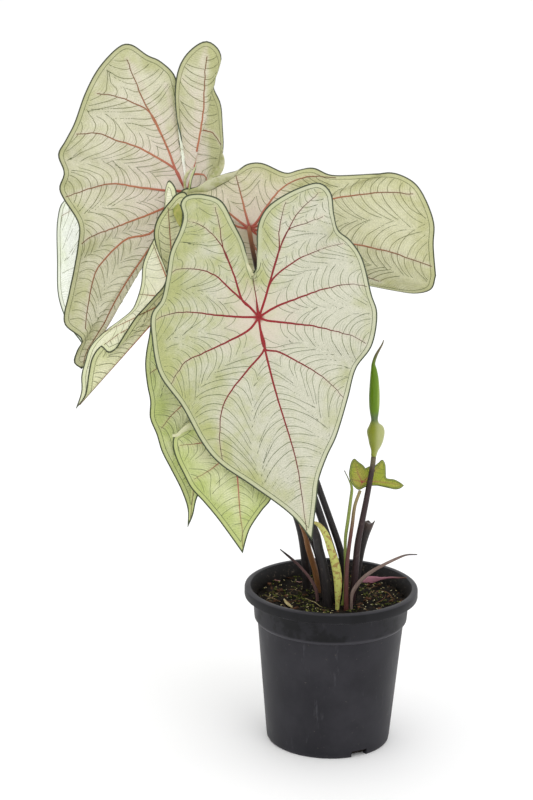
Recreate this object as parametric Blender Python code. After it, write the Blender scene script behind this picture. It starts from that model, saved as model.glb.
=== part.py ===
"""Potted caladium: nursery pot, potting mix, tuber, leaf blades, stems and one flower bud.

Metres, +Z up, pot standing on Z = 0 with its axis on the Z axis, front of the plant toward -Y.
Tables are in millimetres and are scaled once, where points are made.
"""
import math

import bmesh
import bpy
from mathutils import Vector

MM = 0.001
GAP = 0.3                      # clearance between touching pieces
HOLE_GAP = 0.5                 # clearance round a stem in the potting mix

# Pot
POT_HEIGHT = 111.0
RIM_R = 60.0
RIM_INNER_R = 55.5
LIP_BOTTOM_Z = 104.0
COLLAR_TOP_R = 53.9
COLLAR_R = 53.0
COLLAR_BOTTOM_Z = 88.5
WALL_TOP_R = 50.7
WALL_FOOT_R = 43.5
WALL = 1.5
PAD_R = 18.0                   # flat pad in the middle of the base
FLOOR_RAISE = 4.0              # raised ring of the base that holds the drain holes
RING_IN_R, RING_OUT_R = 21.0, 36.0
DRAIN_R, DRAIN_AT_R, DRAIN_COUNT = 3.5, 28.5, 8
NOTCH_WIDE, NOTCH_HIGH = 12.0, 4.6
NOTCH_TURNS = (-61.0, 119.0)
POT_SIDES = 56

# Potting mix and tuber
SOIL_Z = 100.0
SOIL_BUMP = 1.1
TUBER_TOP_Z = 84.0
TUBER_R = 26.0
TUBER_DEEP = 17.0
TUBER_Y = -1.0

# Leaves
BLADE_THICK = 0.8
RIB_THICK = 0.7                # extra depth of a rib on the underside, at the hub
AROUND, RINGS = 40, 5
FACE_TILT = 10.0               # the frame in which leaves are measured leans back by this, degrees
EYE = (-46.8, -1320.5, 575.3)  # where the leaves were looked at from
STEM_PLANE_Y = -5.0            # stem points are read off in this upright plane

# Each blade: hub, then margin points (right, up, toward) from the hub in the leaning frame.
# Right and up are read in the plane of the hub; toward slides the point along the line of sight.
# The margin runs counterclockwise seen from above the blade: sinus, first side, tip, second side.
FRONT = dict(
    hub=(-52.5, -55.0, 311.0), flat=2.0, belly=2.0, sinus=(-5, 27, -3),
    first=[(-8.5, 35, -4), (-10, 46, -6), (-17, 60, -9), (-25, 74, -11), (-36, 78, -14), (-44, 79, -17),
           (-49, 64, -14), (-51, 52, -9), (-58, 39, -6), (-60, 24, -10), (-63, 10, -10),
           (-69, 1, -6), (-69, -12, -2), (-64, -37, 0), (-49, -58, 0), (-36, -81, -1),
           (-24, -95, -2), (-3, -109, -4), (22, -127, -8)],
    tip=(34, -142, -14),
    second=[(36, -129, -11), (38, -105, -7), (42, -85, -5), (51, -70, -6), (58, -50, -10),
            (63, -32, -13), (73, -17, -7), (76, 3, -6), (72, 16, -11), (66, 38, -14),
            (58, 50, -16), (50, 56.5, -19), (47, 67, -15), (45, 80, -16), (37, 86.5, -17),
            (24, 83, -15), (11, 76, -12), (3, 69, -10), (-1.5, 59, -8), (-2, 46, -6), (-1, 35, -4)])
LEFT = dict(
    hub=(-103.0, 40.0, 377.0), flat=1.6, belly=0.0, sinus=(-4.7, 31.5, -2),
    first=[(-4.6, 37, -1.5), (-7, 44.5, -1.5), (-9, 56, -2), (-9, 72, -5), (-6, 86, -9),
           (1, 96, -12), (11, 102, -13), (19, 98, -14), (22, 90, -17), (18, 79, -21), (17, 71, -23),
           (22, 60, -24), (23.5, 45, -26), (24, 28, -29), (19, 11, -35), (2, -2, -44),
           (-28, -4, -50), (-60, -4, -46), (-82, -6, -40), (-88, -20, -36), (-88, -48, -29),
           (-87, -72, -23), (-80, -91, -15), (-70, -105, -8), (-67.5, -114, -4)],
    tip=(-70.5, -121.5, -1),
    second=[(-76, -117, 1), (-74, -109, 3), (-71, -101, 4), (-83, -90, 3), (-80, -70, 3), (-77, -55, 5),
            (-74, -36, 9), (-74, -22, 10), (-84, -6, 2), (-87, 2, -2), (-84, 12, 2),
            (-88, 24, -5), (-83, 34, -2), (-77, 46, -5), (-70, 66, -6), (-61, 83, -9),
            (-48, 97, -12), (-39, 99, -12), (-28, 92, -12), (-19, 88, -12), (-9, 78, -12),
            (-6.5, 62, -10), (-8.5, 48, -6), (-7, 39, -3.5)])
RIGHT = dict(
    hub=(-59.7, 10.0, 357.7), flat=1.5, belly=0.0, sinus=(-17, 2, -8),
    first=[(-27, 11, -9), (-38, 18, -6), (-46, 23, -3), (-43, 33, -2), (-38.5, 40, -2),
           (-40.5, 32, -3), (-39.5, 26, -4), (-33, 28.5, -5), (-26, 33, -7), (-16, 36.5, -10),
           (-9, 38.5, -12), (-2, 43, -13), (8, 43.5, -15), (23, 37.5, -14), (32, 39.5, -13),
           (42, 41, -11), (54, 36.5, -13), (72, 37, -11), (85, 38, -9), (96, 38.5, -13),
           (109, 32.5, -11), (117, 21.5, -9), (123, 5.5, -7), (123, -9.5, -7)],
    tip=(125, -29.5, -12),
    second=[(122, -38.5, -16), (111, -41.5, -22), (95, -39.5, -27), (77, -36.5, -32),
            (47, -33.5, -36), (17, -31.5, -36), (-9, -27.5, -32), (-23, -17.5, -26), (-26, -6.5, -18)])
FOLDED = dict(
    hub=(-109.0, 4.0, 312.0), flat=1.0, belly=0.0, sinus=(0, 23, -8),
    first=[(0, 45, -9), (-2, 60, -11), (0, 70.5, -12), (-5, 77.5, -14), (-7.5, 71, -17),
           (-8, 61, -19), (-11, 47, -20), (-18, 32, -18), (-22, 21, -17), (-23, 8, -16),
           (-26, -3, -15), (-29.5, -10, -14), (-37, -16.5, -13), (-45, -22.5, -12),
           (-52, -29, -11), (-57.5, -36, -9), (-60, -44, -7), (-62.5, -54, -5), (-62.5, -65, -2)],
    tip=(-66, -76.5, 0),
    second=[(-60, -67, 2), (-58, -54, 4), (-55.5, -42, 6), (-50, -34.5, 6), (-45, -38.5, 7),
            (-40.5, -36.5, 7), (-34, -26, 8), (-27, -15, 8), (-20, -7, 9),
            (-13, 1, 10), (-8, 7, 10), (-6, 15, 11), (-9, 24, 12), (-13, 33, 13),
            (-15, 42, 14), (-13, 51, 14), (-8, 59, 12), (-4, 63, 9), (0.5, 65, 5),
            (3.5, 59, 2), (4, 48, -2), (2, 36, -5)])
LOW_LEFT = dict(
    hub=(-88.6, -36.0, 284.5), flat=1.5, belly=0.0, sinus=(0, 20, -3),
    first=[(-4, 30, -5), (-12, 36, -7), (-21, 37, -8), (-29, 31, -8), (-34, 22, -7),
           (-35.5, 10, -6), (-37.5, -2, -6), (-38, -12, -5), (-36.5, -24, -5), (-34.5, -34, -5),
           (-34.5, -45, -6), (-30, -56, -6), (-26.5, -67, -6), (-20.5, -78.5, -6),
           (-13.5, -92, -6), (-9, -105, -7)],
    tip=(-8.8, -117, -8),
    second=[(-5.5, -109, -5), (-3, -98, -3), (4, -82, -4), (14, -64, -6), (26, -40, -8),
            (33, -14, -10), (34, 8, -11), (30, 26, -12), (19, 34, -10), (8, 31, -7)])
LOW_MID = dict(
    hub=(-66.8, -58.0, 240.0), flat=1.5, belly=0.0, sinus=(-2, 14, -3),
    first=[(-8, 24, -5), (-18, 27, -8), (-26, 19, -9), (-28, 7, -7), (-31, -3, -6),
           (-39, -7, -5), (-40.5, -14, -4), (-38, -23, -3), (-33, -33, -3), (-28, -42, -3),
           (-20, -50.5, -4), (-11, -61, -4), (-2, -73, -4)],
    tip=(6, -84, -5),
    second=[(8, -76, -3), (11, -67, -3), (18, -56, -4), (24, -48, -5), (26, -36, -7),
            (26, -20, -9), (24, -4, -10), (18, 10, -10), (10, 18, -8), (3, 18, -5)])
SMALL = dict(
    hub=(19.3, -3.0, 186.5), flat=1.5, belly=0.0, sinus=(2, 9.5, -0.5),
    first=[(0.5, 11.5, -1), (-3, 14, -1.5), (-5.5, 16, -2), (-7.5, 14, -1.5), (-8.6, 9.5, 0),
           (-9, 4.5, 1), (-7.5, -0.5, 2), (-4, -4.5, 2.5), (-1.5, -5.3, 2.5), (2, -3.5, 2),
           (6, -2.5, 1.5), (11, -2.3, 1.5), (16, -2.9, 2), (22, -4.5, 2), (26, -4, 1.5)],
    tip=(28.5, -2, 1),
    second=[(26, 0, -1), (22, 2, -2), (18, 2.5, -2), (16.3, 3.5, -2), (16, 7.5, -2),
            (15.5, 12.5, -2.5), (13.5, 15.5, -3), (11, 13.5, -2.5), (8.5, 11.5, -1.5),
            (5.5, 11.1, -1)])

# Stems: foot on the tuber, place in the soil, then (x, z, depth y) read in the stem plane,
# and the radius at the foot and at the top.
STEMS = {
    "front_petiole": dict(foot=(2, -3), soil=(3, -4), r=(2.9, 1.9), leaf="front_blade", neck=9,
        path=[(2, 128, -5), (-1, 140, -5), (-13, 175, -6), (-26, 212, -12), (-40, 252, -24),
              (-49, 280, -36)]),
    "left_petiole": dict(foot=(-12, 14), soil=(-16, 21), r=(3.3, 1.9), leaf="left_blade", neck=9,
        path=[(-18.5, 132, 20), (-23.5, 158, 19), (-36, 190, 18), (-60, 250, 17),
              (-83, 310, 18), (-95, 340, 22)]),
    "right_petiole": dict(foot=(6, 4), soil=(9, 3.5), r=(2.7, 1.5), leaf="right_blade", neck=6,
        path=[(8, 125, 2), (5, 140, 1), (-2, 160, 0), (-10, 182, 0), (-25, 225, -4),
              (-41, 285, -6), (-54, 331, -2)]),
    "folded_petiole": dict(foot=(-7, 9), soil=(-8.5, 12), r=(2.2, 1.6), leaf="folded_blade", neck=8,
        path=[(-9.6, 114, 12), (-12.3, 126, 12), (-16.4, 139, 11), (-21, 156, 10), (-40, 200, 5),
              (-70, 253, 3)]),
    "low_left_petiole": dict(foot=(-3, -10), soil=(-2.5, -13), r=(3.6, 1.8), leaf="low_left_blade",
        neck=8, path=[(-4.5, 120, -13), (-9, 138, -13), (-14, 155, -13), (-35, 192, -14),
                      (-62, 232, -18), (-80, 258, -26)]),
    "low_mid_petiole": dict(foot=(-4, 2), soil=(-4, 3), r=(2.1, 1.4), leaf="low_mid_blade", neck=7,
        path=[(-8, 125, 1), (-13, 142, -2), (-22, 160, -8), (-40, 187, -22), (-57, 207, -34)]),
    "small_petiole": dict(foot=(8.5, -16), soil=(9.8, -21.5), r=(1.9, 1.1), leaf=None, neck=0,
        path=[(10.2, 112, -21), (10.3, 126, -20.5), (11.4, 140, -19), (13.2, 156, -15),
              (14.7, 170, -10), (18.0, 181.0, -5.4)]),
    "peduncle": dict(foot=(10, -7), soil=(13, -11), r=(2.9, 1.75), leaf=None, neck=0,
        path=[(15.8, 118, -11), (17.2, 141, -11), (19.4, 156, -11), (21.9, 171, -10),
              (24.2, 186, -9), (26, 199, -8), (26.5, 205.0, -8)]),
}
STEM_BEVEL_RES = 2
STEM_STEP = 24.0               # spacing of the sections along a stem

# Sheaths, rolled leaf and fallen scrap: lower end as (x, y, z, half width, half thickness), then
# (x, z in the stem plane, depth y, half width, half thickness)
SHEATHS = {
    "rolled_leaf": dict(foot=(4.5, -11, 84.6, 1.0, 1.0), path=[
        (8.5, 103, -14, 1.0, 1.0), (9.4, 122, -14, 1.0, 1.0), (8.8, 145, -14, 1.1, 1.1),
        (10.3, 160, -14, 1.2, 1.2), (11.8, 175, -14, 1.1, 1.1), (12.3, 183, -14, 0.95, 0.95),
        (9.9, 189, -14, 0.4, 0.4), (6.9, 195, -14, 0.3, 0.3)]),
    "yellow_sheath": dict(foot=(4, -20.5, 88, 1.3, 1.1), path=[
        (4.5, 98, -20.5, 1.4, 1.1), (4.7, 108, -20.5, 2.4, 1.3), (4.4, 116.5, -20.5, 2.9, 1.3),
        (3.2, 124, -20.5, 3.0, 1.2), (1.4, 131.5, -21, 2.8, 1.2), (-1.2, 139, -21.5, 2.5, 1.1),
        (-3.8, 147, -22, 2.3, 1.0), (-7.4, 153.5, -23, 1.9, 0.9), (-11, 157, -23, 1.3, 0.7),
        (-14.7, 158, -23, 0.6, 0.5)]),
    "right_sheath": dict(foot=(13.8, -21, 90, 0.9, 0.8), path=[
        (14.1, 102, -22, 1.0, 0.8), (15.2, 108.5, -22, 1.4, 0.9), (19.9, 116, -23, 1.4, 0.8),
        (25.7, 121.6, -25, 1.3, 0.7), (34, 127.1, -27, 1.1, 0.7), (44.7, 132.8, -29, 0.9, 0.6),
        (51.2, 135.4, -30, 0.6, 0.5), (58.5, 135.8, -30, 0.35, 0.35)]),
    "left_sheath": dict(foot=(-9, -4, 90, 1.1, 1.0), path=[
        (-9.6, 104, -4, 1.1, 1.0), (-11.3, 111, -4, 1.2, 0.9), (-15.6, 118.3, -4, 1.0, 0.8),
        (-22.6, 126.5, -5, 0.9, 0.7), (-29, 132.3, -6, 0.9, 0.65), (-35.8, 138, -8, 0.35, 0.35)]),
    "fallen_leaf": dict(foot=None, path=[
        (20.8, 115.5, 32, 0.7, 0.5), (23.8, 116.7, 32, 2.1, 0.5), (27.2, 117, 31.5, 2.6, 0.5),
        (30.6, 117.6, 30, 2.0, 0.5), (34.5, 118, 27, 1.0, 0.5), (40.9, 118.8, 22, 0.65, 0.5),
        (46, 118.7, 19, 0.6, 0.45), (51.6, 118.9, 16.3, 0.4, 0.4)]),
}
SHEATH_SIDES = 10

# Flower bud: (x, z in the stem plane, radius)
SPATHE_Y = -8.0
SPATHE = [(26.5, 205.5, 1.8), (27.0, 209.5, 2.4), (27.4, 213.5, 4.1), (27.7, 218, 5.3),
          (27.5, 222.5, 6.0), (27.0, 225.5, 5.4), (26.5, 228, 3.4), (26.4, 231, 2.3),
          (26.2, 235.5, 2.9), (26.0, 241, 3.5), (25.8, 249, 3.6), (25.5, 259, 2.95),
          (25.0, 265.5, 2.1), (24.6, 270, 1.25), (26.3, 276, 1.0), (29.9, 283, 0.55),
          (31.0, 286.3, 0.3)]
SPATHE_SIDES = 14

# Cut stub of an old leaf stalk: (x, z in the stem plane, y, radius) and its hollow
STUB_FOOT = (13.5, 3.0)
STUB = [(16.2, 110, 0, 2.8), (17.6, 125, -1, 2.9), (19.3, 138, -2, 3.1), (21.6, 149, -3, 3.4),
        (24.4, 158, -3, 3.7)]
STUB_WALL = 0.9
STUB_HOLLOW = 14.0
STUB_SIDES = 14
STUB_SPIKE = 3.0


def clear_scene():
    for ob in list(bpy.data.objects):
        bpy.data.objects.remove(ob, do_unlink=True)


def collection(name, hidden=False):
    col = bpy.data.collections.new(name)
    bpy.context.scene.collection.children.link(col)
    col.hide_render = hidden
    return col


def mesh_object(name, verts, faces, col):
    mesh = bpy.data.meshes.new(name)
    mesh.from_pydata([tuple(v) for v in verts], [], faces)
    mesh.validate()
    ob = bpy.data.objects.new(name, mesh)
    col.objects.link(ob)
    return ob


def outward(ob):
    bm = bmesh.new()
    bm.from_mesh(ob.data)
    bmesh.ops.recalc_face_normals(bm, faces=bm.faces)
    bm.to_mesh(ob.data)
    bm.free()
    return ob


def catmull(points, per=8):
    """Smooth curve through the points, densely sampled."""
    p = [Vector(q) for q in points]
    p = [p[0] * 2 - p[1]] + p + [p[-1] * 2 - p[-2]]
    out = []
    for i in range(1, len(p) - 2):
        a, b, c, d = p[i - 1], p[i], p[i + 1], p[i + 2]
        for k in range(per):
            t = k / per
            out.append(0.5 * (2 * b + (c - a) * t + (2 * a - 5 * b + 4 * c - d) * t * t
                              + (3 * b - a - 3 * c + d) * t ** 3))
    out.append(p[-2])
    return out


def spaced(points, count):
    """count + 1 points evenly spaced along a polyline."""
    total = [0.0]
    for a, b in zip(points, points[1:]):
        total.append(total[-1] + (b - a).length)
    out, i = [], 0
    for k in range(count + 1):
        want = total[-1] * k / count
        while i < len(total) - 2 and total[i + 1] < want:
            i += 1
        f = (want - total[i]) / max(total[i + 1] - total[i], 1e-9)
        out.append(points[i].lerp(points[i + 1], min(max(f, 0.0), 1.0)))
    return out


def seen(hub, right, up, toward):
    """A leaf point in world millimetres from its reading in the leaning plane of the hub."""
    c, s = math.cos(math.radians(FACE_TILT)), math.sin(math.radians(FACE_TILT))
    face = Vector((0, -c, s))
    flat = Vector(hub) + Vector((right, up * s, up * c))
    sight = Vector(EYE) - flat
    return flat + sight * (toward / sight.dot(face))


def look(x, z, y):
    """A stem point in world millimetres: read at (x, z) in the stem plane, lying at depth y."""
    flat, eye = Vector((x, STEM_PLANE_Y, z)), Vector(EYE)
    return eye + (flat - eye) * ((y - eye.y) / (STEM_PLANE_Y - eye.y))


def blade_surface(leaf, around, rings):
    """Hub point and rings of points of the middle surface, sinus first."""
    hub = Vector(leaf["hub"])
    c, s = math.cos(math.radians(FACE_TILT)), math.sin(math.radians(FACE_TILT))
    face = Vector((0, -c, s))
    sides = []
    for run in ([leaf["sinus"], *leaf["first"], leaf["tip"]],
                [leaf["tip"], *leaf["second"], leaf["sinus"]]):
        sides += spaced(catmull([seen(hub, *q) for q in run]), around // 2)[:-1]
    grid = []
    for ring in range(1, rings + 1):
        rho = ring / rings
        row = []
        for edge in sides:
            arm = edge - hub
            depth = arm.dot(face)
            lift = depth * rho ** leaf["flat"] + leaf["belly"] * 4 * rho * (1 - rho)
            row.append(hub + (arm - face * depth) * rho + face * lift)
        grid.append(row)
    return hub, grid


def blade(name, leaf, col, around=AROUND, rings=RINGS, ribs=True):
    """Closed leaf blade with ribs on its underside; returns it with its hub and hub normal."""
    hub, grid = blade_surface(leaf, around, rings)
    verts = [hub] + [p for row in grid for p in row]
    tris = []
    for i in range(around):
        j = (i + 1) % around
        tris.append((0, 1 + i, 1 + j))
        for k in range(rings - 1):
            a, b = 1 + k * around + i, 1 + k * around + j
            c, d = a + around, b + around
            tris += [(a, c, d), (a, d, b)]
    normals = [Vector() for _ in verts]
    for a, b, c in tris:
        n = (verts[b] - verts[a]).cross(verts[c] - verts[a])
        for v in (a, b, c):
            normals[v] += n
    normals = [n.normalized() for n in normals]
    count = len(verts)
    half = BLADE_THICK / 2
    top = [v + n * half for v, n in zip(verts, normals)]
    low = []
    for index, (v, n) in enumerate(zip(verts, normals)):
        extra = 0.0
        if index == 0:
            extra = RIB_THICK if ribs else 0.0
        elif ribs:
            ring, turn = divmod(index - 1, around)
            if turn % 4 == 0:
                extra = RIB_THICK * (1 - (ring + 1) / rings)
        low.append(v - n * (half + extra))
    faces = [(a, b, c) for a, b, c in tris] + [(c + count, b + count, a + count) for a, b, c in tris]
    last = 1 + (rings - 1) * around
    for i in range(around):
        j = (i + 1) % around
        a, b = last + i, last + j
        faces += [(a, a + count, b + count), (a, b + count, b)]
    ob = mesh_object(name, [v * MM for v in top + low], faces, col)
    under = half + (RIB_THICK if ribs else 0.0)
    return ob, hub, normals[0], under


def tube(name, points, radii, col):
    """Tapered round tube with closed ends, as a bevelled curve."""
    curve = bpy.data.curves.new(name, "CURVE")
    curve.dimensions = "3D"
    curve.bevel_depth = MM
    curve.bevel_resolution = STEM_BEVEL_RES
    curve.use_fill_caps = True
    spline = curve.splines.new("POLY")
    spline.points.add(len(points) - 1)
    for point, p, r in zip(spline.points, points, radii):
        point.co = (*(p * MM), 1.0)
        point.radius = r
    ob = bpy.data.objects.new(name, curve)
    col.objects.link(ob)
    return ob


def stem_points(stem, ends):
    """Evenly spaced points of a stem from the tuber up, with their radii."""
    foot, soil = stem["foot"], stem["soil"]
    foot_z = TUBER_TOP_Z + GAP
    run = [Vector((*foot, foot_z)), Vector((*foot, foot_z + 3)),
           Vector((*soil, SOIL_Z - 1))] + [look(*p) for p in stem["path"]] + ends
    last = ends[-1:]
    dense = catmull(run[1:len(run) - len(last)], 6)
    length = sum((b - a).length for a, b in zip(dense, dense[1:]))
    points = [run[0]] + spaced(dense, max(8, round(length / STEM_STEP))) + last
    low, high = stem["r"]
    count = len(points) - 1
    return points, [low + (high - low) * (i / count) ** 0.8 for i in range(count + 1)]


def rings_solid(name, rings, col):
    """Closed solid through rings of equal count, first and last ring capped."""
    sides = len(rings[0])
    verts = [v * MM for ring in rings for v in ring]
    faces = []
    for k in range(len(rings) - 1):
        for i in range(sides):
            j = (i + 1) % sides
            a, b = k * sides + i, k * sides + j
            faces += [(a, b, b + sides), (a, b + sides, a + sides)]
    for start, flip in ((0, True), ((len(rings) - 1) * sides, False)):
        centre = len(verts)
        verts.append(sum(verts[start:start + sides], Vector()) / sides)
        for i in range(sides):
            a, b = start + i, start + (i + 1) % sides
            faces.append((centre, b, a) if flip else (centre, a, b))
    return outward(mesh_object(name, verts, faces, col))


def section(point, tangent, half_wide, half_thick, sides):
    """Elliptic ring across a path, its wide axis level in the picture."""
    tangent = tangent.normalized()
    wide = tangent.cross(Vector((0, 1, 0))).normalized()
    deep = tangent.cross(wide).normalized()
    return [point + wide * (half_wide * math.cos(a)) + deep * (half_thick * math.sin(a))
            for a in (2 * math.pi * i / sides for i in range(sides))]


def path_rings(stations, sides):
    """Rings along (point, half width, half thickness) stations."""
    rings = []
    for i, (p, wide, thick) in enumerate(stations):
        before, after = stations[max(i - 1, 0)][0], stations[min(i + 1, len(stations) - 1)][0]
        rings.append(section(p, after - before, wide, thick, sides))
    return rings


def sheath_stations(sheath):
    out = []
    if sheath["foot"]:
        x, y, z, wide, thick = sheath["foot"]
        out.append((Vector((x, y, z)), wide, thick))
    out += [(look(x, z, y), wide, thick) for x, z, y, wide, thick in sheath["path"]]
    return out


def lathe(name, profile, sides, col, centre=(0, 0)):
    """Solid turned from a profile of (radius, height) that starts and ends on the axis."""
    verts, rows = [], []
    for r, z in profile:
        if r <= 0:
            rows.append([len(verts)])
            verts.append(Vector((centre[0], centre[1], z)) * MM)
        else:
            rows.append(list(range(len(verts), len(verts) + sides)))
            for i in range(sides):
                a = 2 * math.pi * i / sides
                verts.append(Vector((centre[0] + r * math.cos(a),
                                     centre[1] + r * math.sin(a), z)) * MM)
    faces = []
    for low, high in zip(rows, rows[1:]):
        for i in range(sides):
            j = (i + 1) % sides
            if len(low) == 1:
                faces.append((low[0], high[i], high[j]))
            elif len(high) == 1:
                faces.append((low[i], high[0], low[j]))
            else:
                faces.append((low[i], high[i], high[j], low[j]))
    return outward(mesh_object(name, verts, faces, col))


def cut(ob, cutters):
    for cutter in cutters:
        mod = ob.modifiers.new("cut_" + cutter.name, "BOOLEAN")
        mod.operation = "DIFFERENCE"
        mod.solver = "EXACT"
        mod.object = cutter


def box(name, size, centre, turn, col):
    x, y, z = (s / 2 for s in size)
    ca, sa = math.cos(turn), math.sin(turn)
    verts = []
    for i, j, k in ((-1, -1, -1), (1, -1, -1), (1, 1, -1), (-1, 1, -1),
                    (-1, -1, 1), (1, -1, 1), (1, 1, 1), (-1, 1, 1)):
        px, py = centre[0] + i * x, centre[1] + j * y
        verts.append(Vector((px * ca - py * sa, px * sa + py * ca, centre[2] + k * z)) * MM)
    faces = [(0, 3, 2, 1), (4, 5, 6, 7), (0, 1, 5, 4), (1, 2, 6, 5), (2, 3, 7, 6), (3, 0, 4, 7)]
    return mesh_object(name, verts, faces, col)


def wall_r(z):
    """Outer radius of the tapered wall."""
    return WALL_FOOT_R + (WALL_TOP_R - WALL_FOOT_R) * (z - 6.0) / (COLLAR_BOTTOM_Z - 8.0)


def pot(col, tools):
    ledge_z = COLLAR_BOTTOM_Z - 2.0
    outer = [(0, 0), (PAD_R, 0), (PAD_R + 0.8, 0.6), (RING_IN_R, FLOOR_RAISE),
             (RING_OUT_R, FLOOR_RAISE), (RING_OUT_R + 2.2, 0.6), (RING_OUT_R + 3, 0),
             (WALL_FOOT_R - 1.6, 0), (WALL_FOOT_R - 0.7, 1.0), (WALL_FOOT_R, 6.0),
             (wall_r(46), 46), (WALL_TOP_R, ledge_z - 1.0), (WALL_TOP_R + 0.5, ledge_z),
             (COLLAR_R - 0.4, COLLAR_BOTTOM_Z - 0.3), (COLLAR_R, COLLAR_BOTTOM_Z + 0.6),
             (COLLAR_TOP_R, LIP_BOTTOM_Z), (RIM_R - 0.5, LIP_BOTTOM_Z), (RIM_R, LIP_BOTTOM_Z + 0.6),
             (RIM_R, POT_HEIGHT - 1.2), (RIM_R - 0.5, POT_HEIGHT - 0.3), (RIM_R - 1.3, POT_HEIGHT)]
    inner = [(RIM_INNER_R + 0.6, POT_HEIGHT), (RIM_INNER_R, POT_HEIGHT - 0.7),
             (COLLAR_TOP_R - WALL, LIP_BOTTOM_Z - 1.5), (COLLAR_R - WALL, COLLAR_BOTTOM_Z + 1.0),
             (WALL_TOP_R - WALL, ledge_z - 1.0), (wall_r(46) - WALL, 46),
             (WALL_FOOT_R - WALL, 6.0), (WALL_FOOT_R - WALL - 0.8, 2.2), (WALL_FOOT_R - 3.2, WALL),
             (RING_OUT_R + 3.6, WALL), (RING_OUT_R + 0.9, FLOOR_RAISE + WALL),
             (RING_IN_R - 0.9, FLOOR_RAISE + WALL), (PAD_R - 0.4, WALL), (0, WALL)]
    body = lathe("pot", outer + inner, POT_SIDES, col)
    cutters = []
    for i in range(DRAIN_COUNT):
        a = 2 * math.pi * (i + 0.5) / DRAIN_COUNT
        cutters.append(lathe(f"drain_{i}", [(0, -2), (DRAIN_R, -2), (DRAIN_R, 9), (0, 9)], 16, tools,
                             (DRAIN_AT_R * math.cos(a), DRAIN_AT_R * math.sin(a))))
    for i, turn in enumerate(NOTCH_TURNS):
        cutters.append(box(f"notch_{i}", (11, NOTCH_WIDE, NOTCH_HIGH + 2),
                           (WALL_FOOT_R - 1.0, 0, NOTCH_HIGH / 2 - 1), math.radians(turn), tools))
    cut(body, cutters)
    return body


def soil_height(x, y):
    """Bumpy top of the potting mix."""
    wave = (math.sin(0.21 * x + 0.9) * math.cos(0.17 * y - 0.4)
            + 0.6 * math.sin(0.37 * y + 0.11 * x) + 0.4 * math.cos(0.43 * x - 0.29 * y + 1.1))
    return SOIL_Z + SOIL_BUMP * wave / 2


def soil(col, cutters):
    """Potting mix filling the pot, with the hollow of the tuber and plain holes for the stems."""
    r_top = COLLAR_TOP_R - WALL - GAP - 0.25
    ledge_z = COLLAR_BOTTOM_Z - 2.0
    side = [(0, WALL + GAP), (PAD_R - 0.6, WALL + GAP), (RING_IN_R - 1.1, FLOOR_RAISE + WALL + GAP),
            (RING_OUT_R + 1.1, FLOOR_RAISE + WALL + GAP), (RING_OUT_R + 3.9, WALL + GAP),
            (WALL_FOOT_R - 3.5, WALL + GAP), (WALL_FOOT_R - WALL - GAP - 0.8, 2.6),
            (WALL_FOOT_R - WALL - GAP, 6.2), (wall_r(46) - WALL - GAP, 46),
            (WALL_TOP_R - WALL - GAP, ledge_z - 1.0),
            (COLLAR_R - WALL - GAP - 0.1, COLLAR_BOTTOM_Z + 1.2), (r_top, SOIL_Z)]
    tops = [(r_top * f, SOIL_Z) for f in (0.86, 0.7, 0.53, 0.36, 0.18)] + [(0, SOIL_Z)]
    ob = lathe("soil", side + tops, 48, col)
    for v in ob.data.vertices:
        if v.co.z > (SOIL_Z - 0.01) * MM:
            v.co.z = soil_height(v.co.x / MM, v.co.y / MM) * MM
    cut(ob, cutters)
    return ob


def tuber_profile(grow):
    top, deep, r = TUBER_TOP_Z + grow, TUBER_DEEP + 2 * grow, TUBER_R + grow
    return [(0, top - deep), (r * 0.55, top - deep * 0.96), (r * 0.88, top - deep * 0.75),
            (r, top - deep * 0.4), (r * 0.96, top - deep * 0.12), (r * 0.88, top), (0, top)]


def spathe(col):
    stations = [(look(x, z, SPATHE_Y), r, r) for x, z, r in SPATHE]
    return rings_solid("spathe", path_rings(stations, SPATHE_SIDES), col)


def stub(col):
    """Cut leaf stalk: hollow at the top, with a torn spike on its rim."""
    run = [(Vector((*STUB_FOOT, TUBER_TOP_Z + GAP)), 2.4), (Vector((*STUB_FOOT, 88)), 2.4)]
    run += [(look(x, z, y), r) for x, z, y, r in STUB]
    stations = [(p, r, r) for p, r in run]
    rings = path_rings(stations, STUB_SIDES)
    axis = (run[-1][0] - run[-2][0]).normalized()
    rings[-1] = [v + axis * (STUB_SPIKE if i == 0 else 0.4 * math.sin(i * 1.7))
                 for i, v in enumerate(rings[-1])]
    top = run[-1]
    hollow = []
    for down in (0.0, STUB_HOLLOW * 0.5, STUB_HOLLOW):
        p = top[0] - axis * down
        r = top[1] - STUB_WALL - 0.5 * down / STUB_HOLLOW
        hollow.append(section(p, axis, r, r, STUB_SIDES))
    hollow[0] = [v + (w - v) * STUB_WALL / top[1] for v, w in zip(rings[-1], [top[0]] * STUB_SIDES)]
    return rings_solid("cut_stub", rings + hollow, col)


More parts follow.
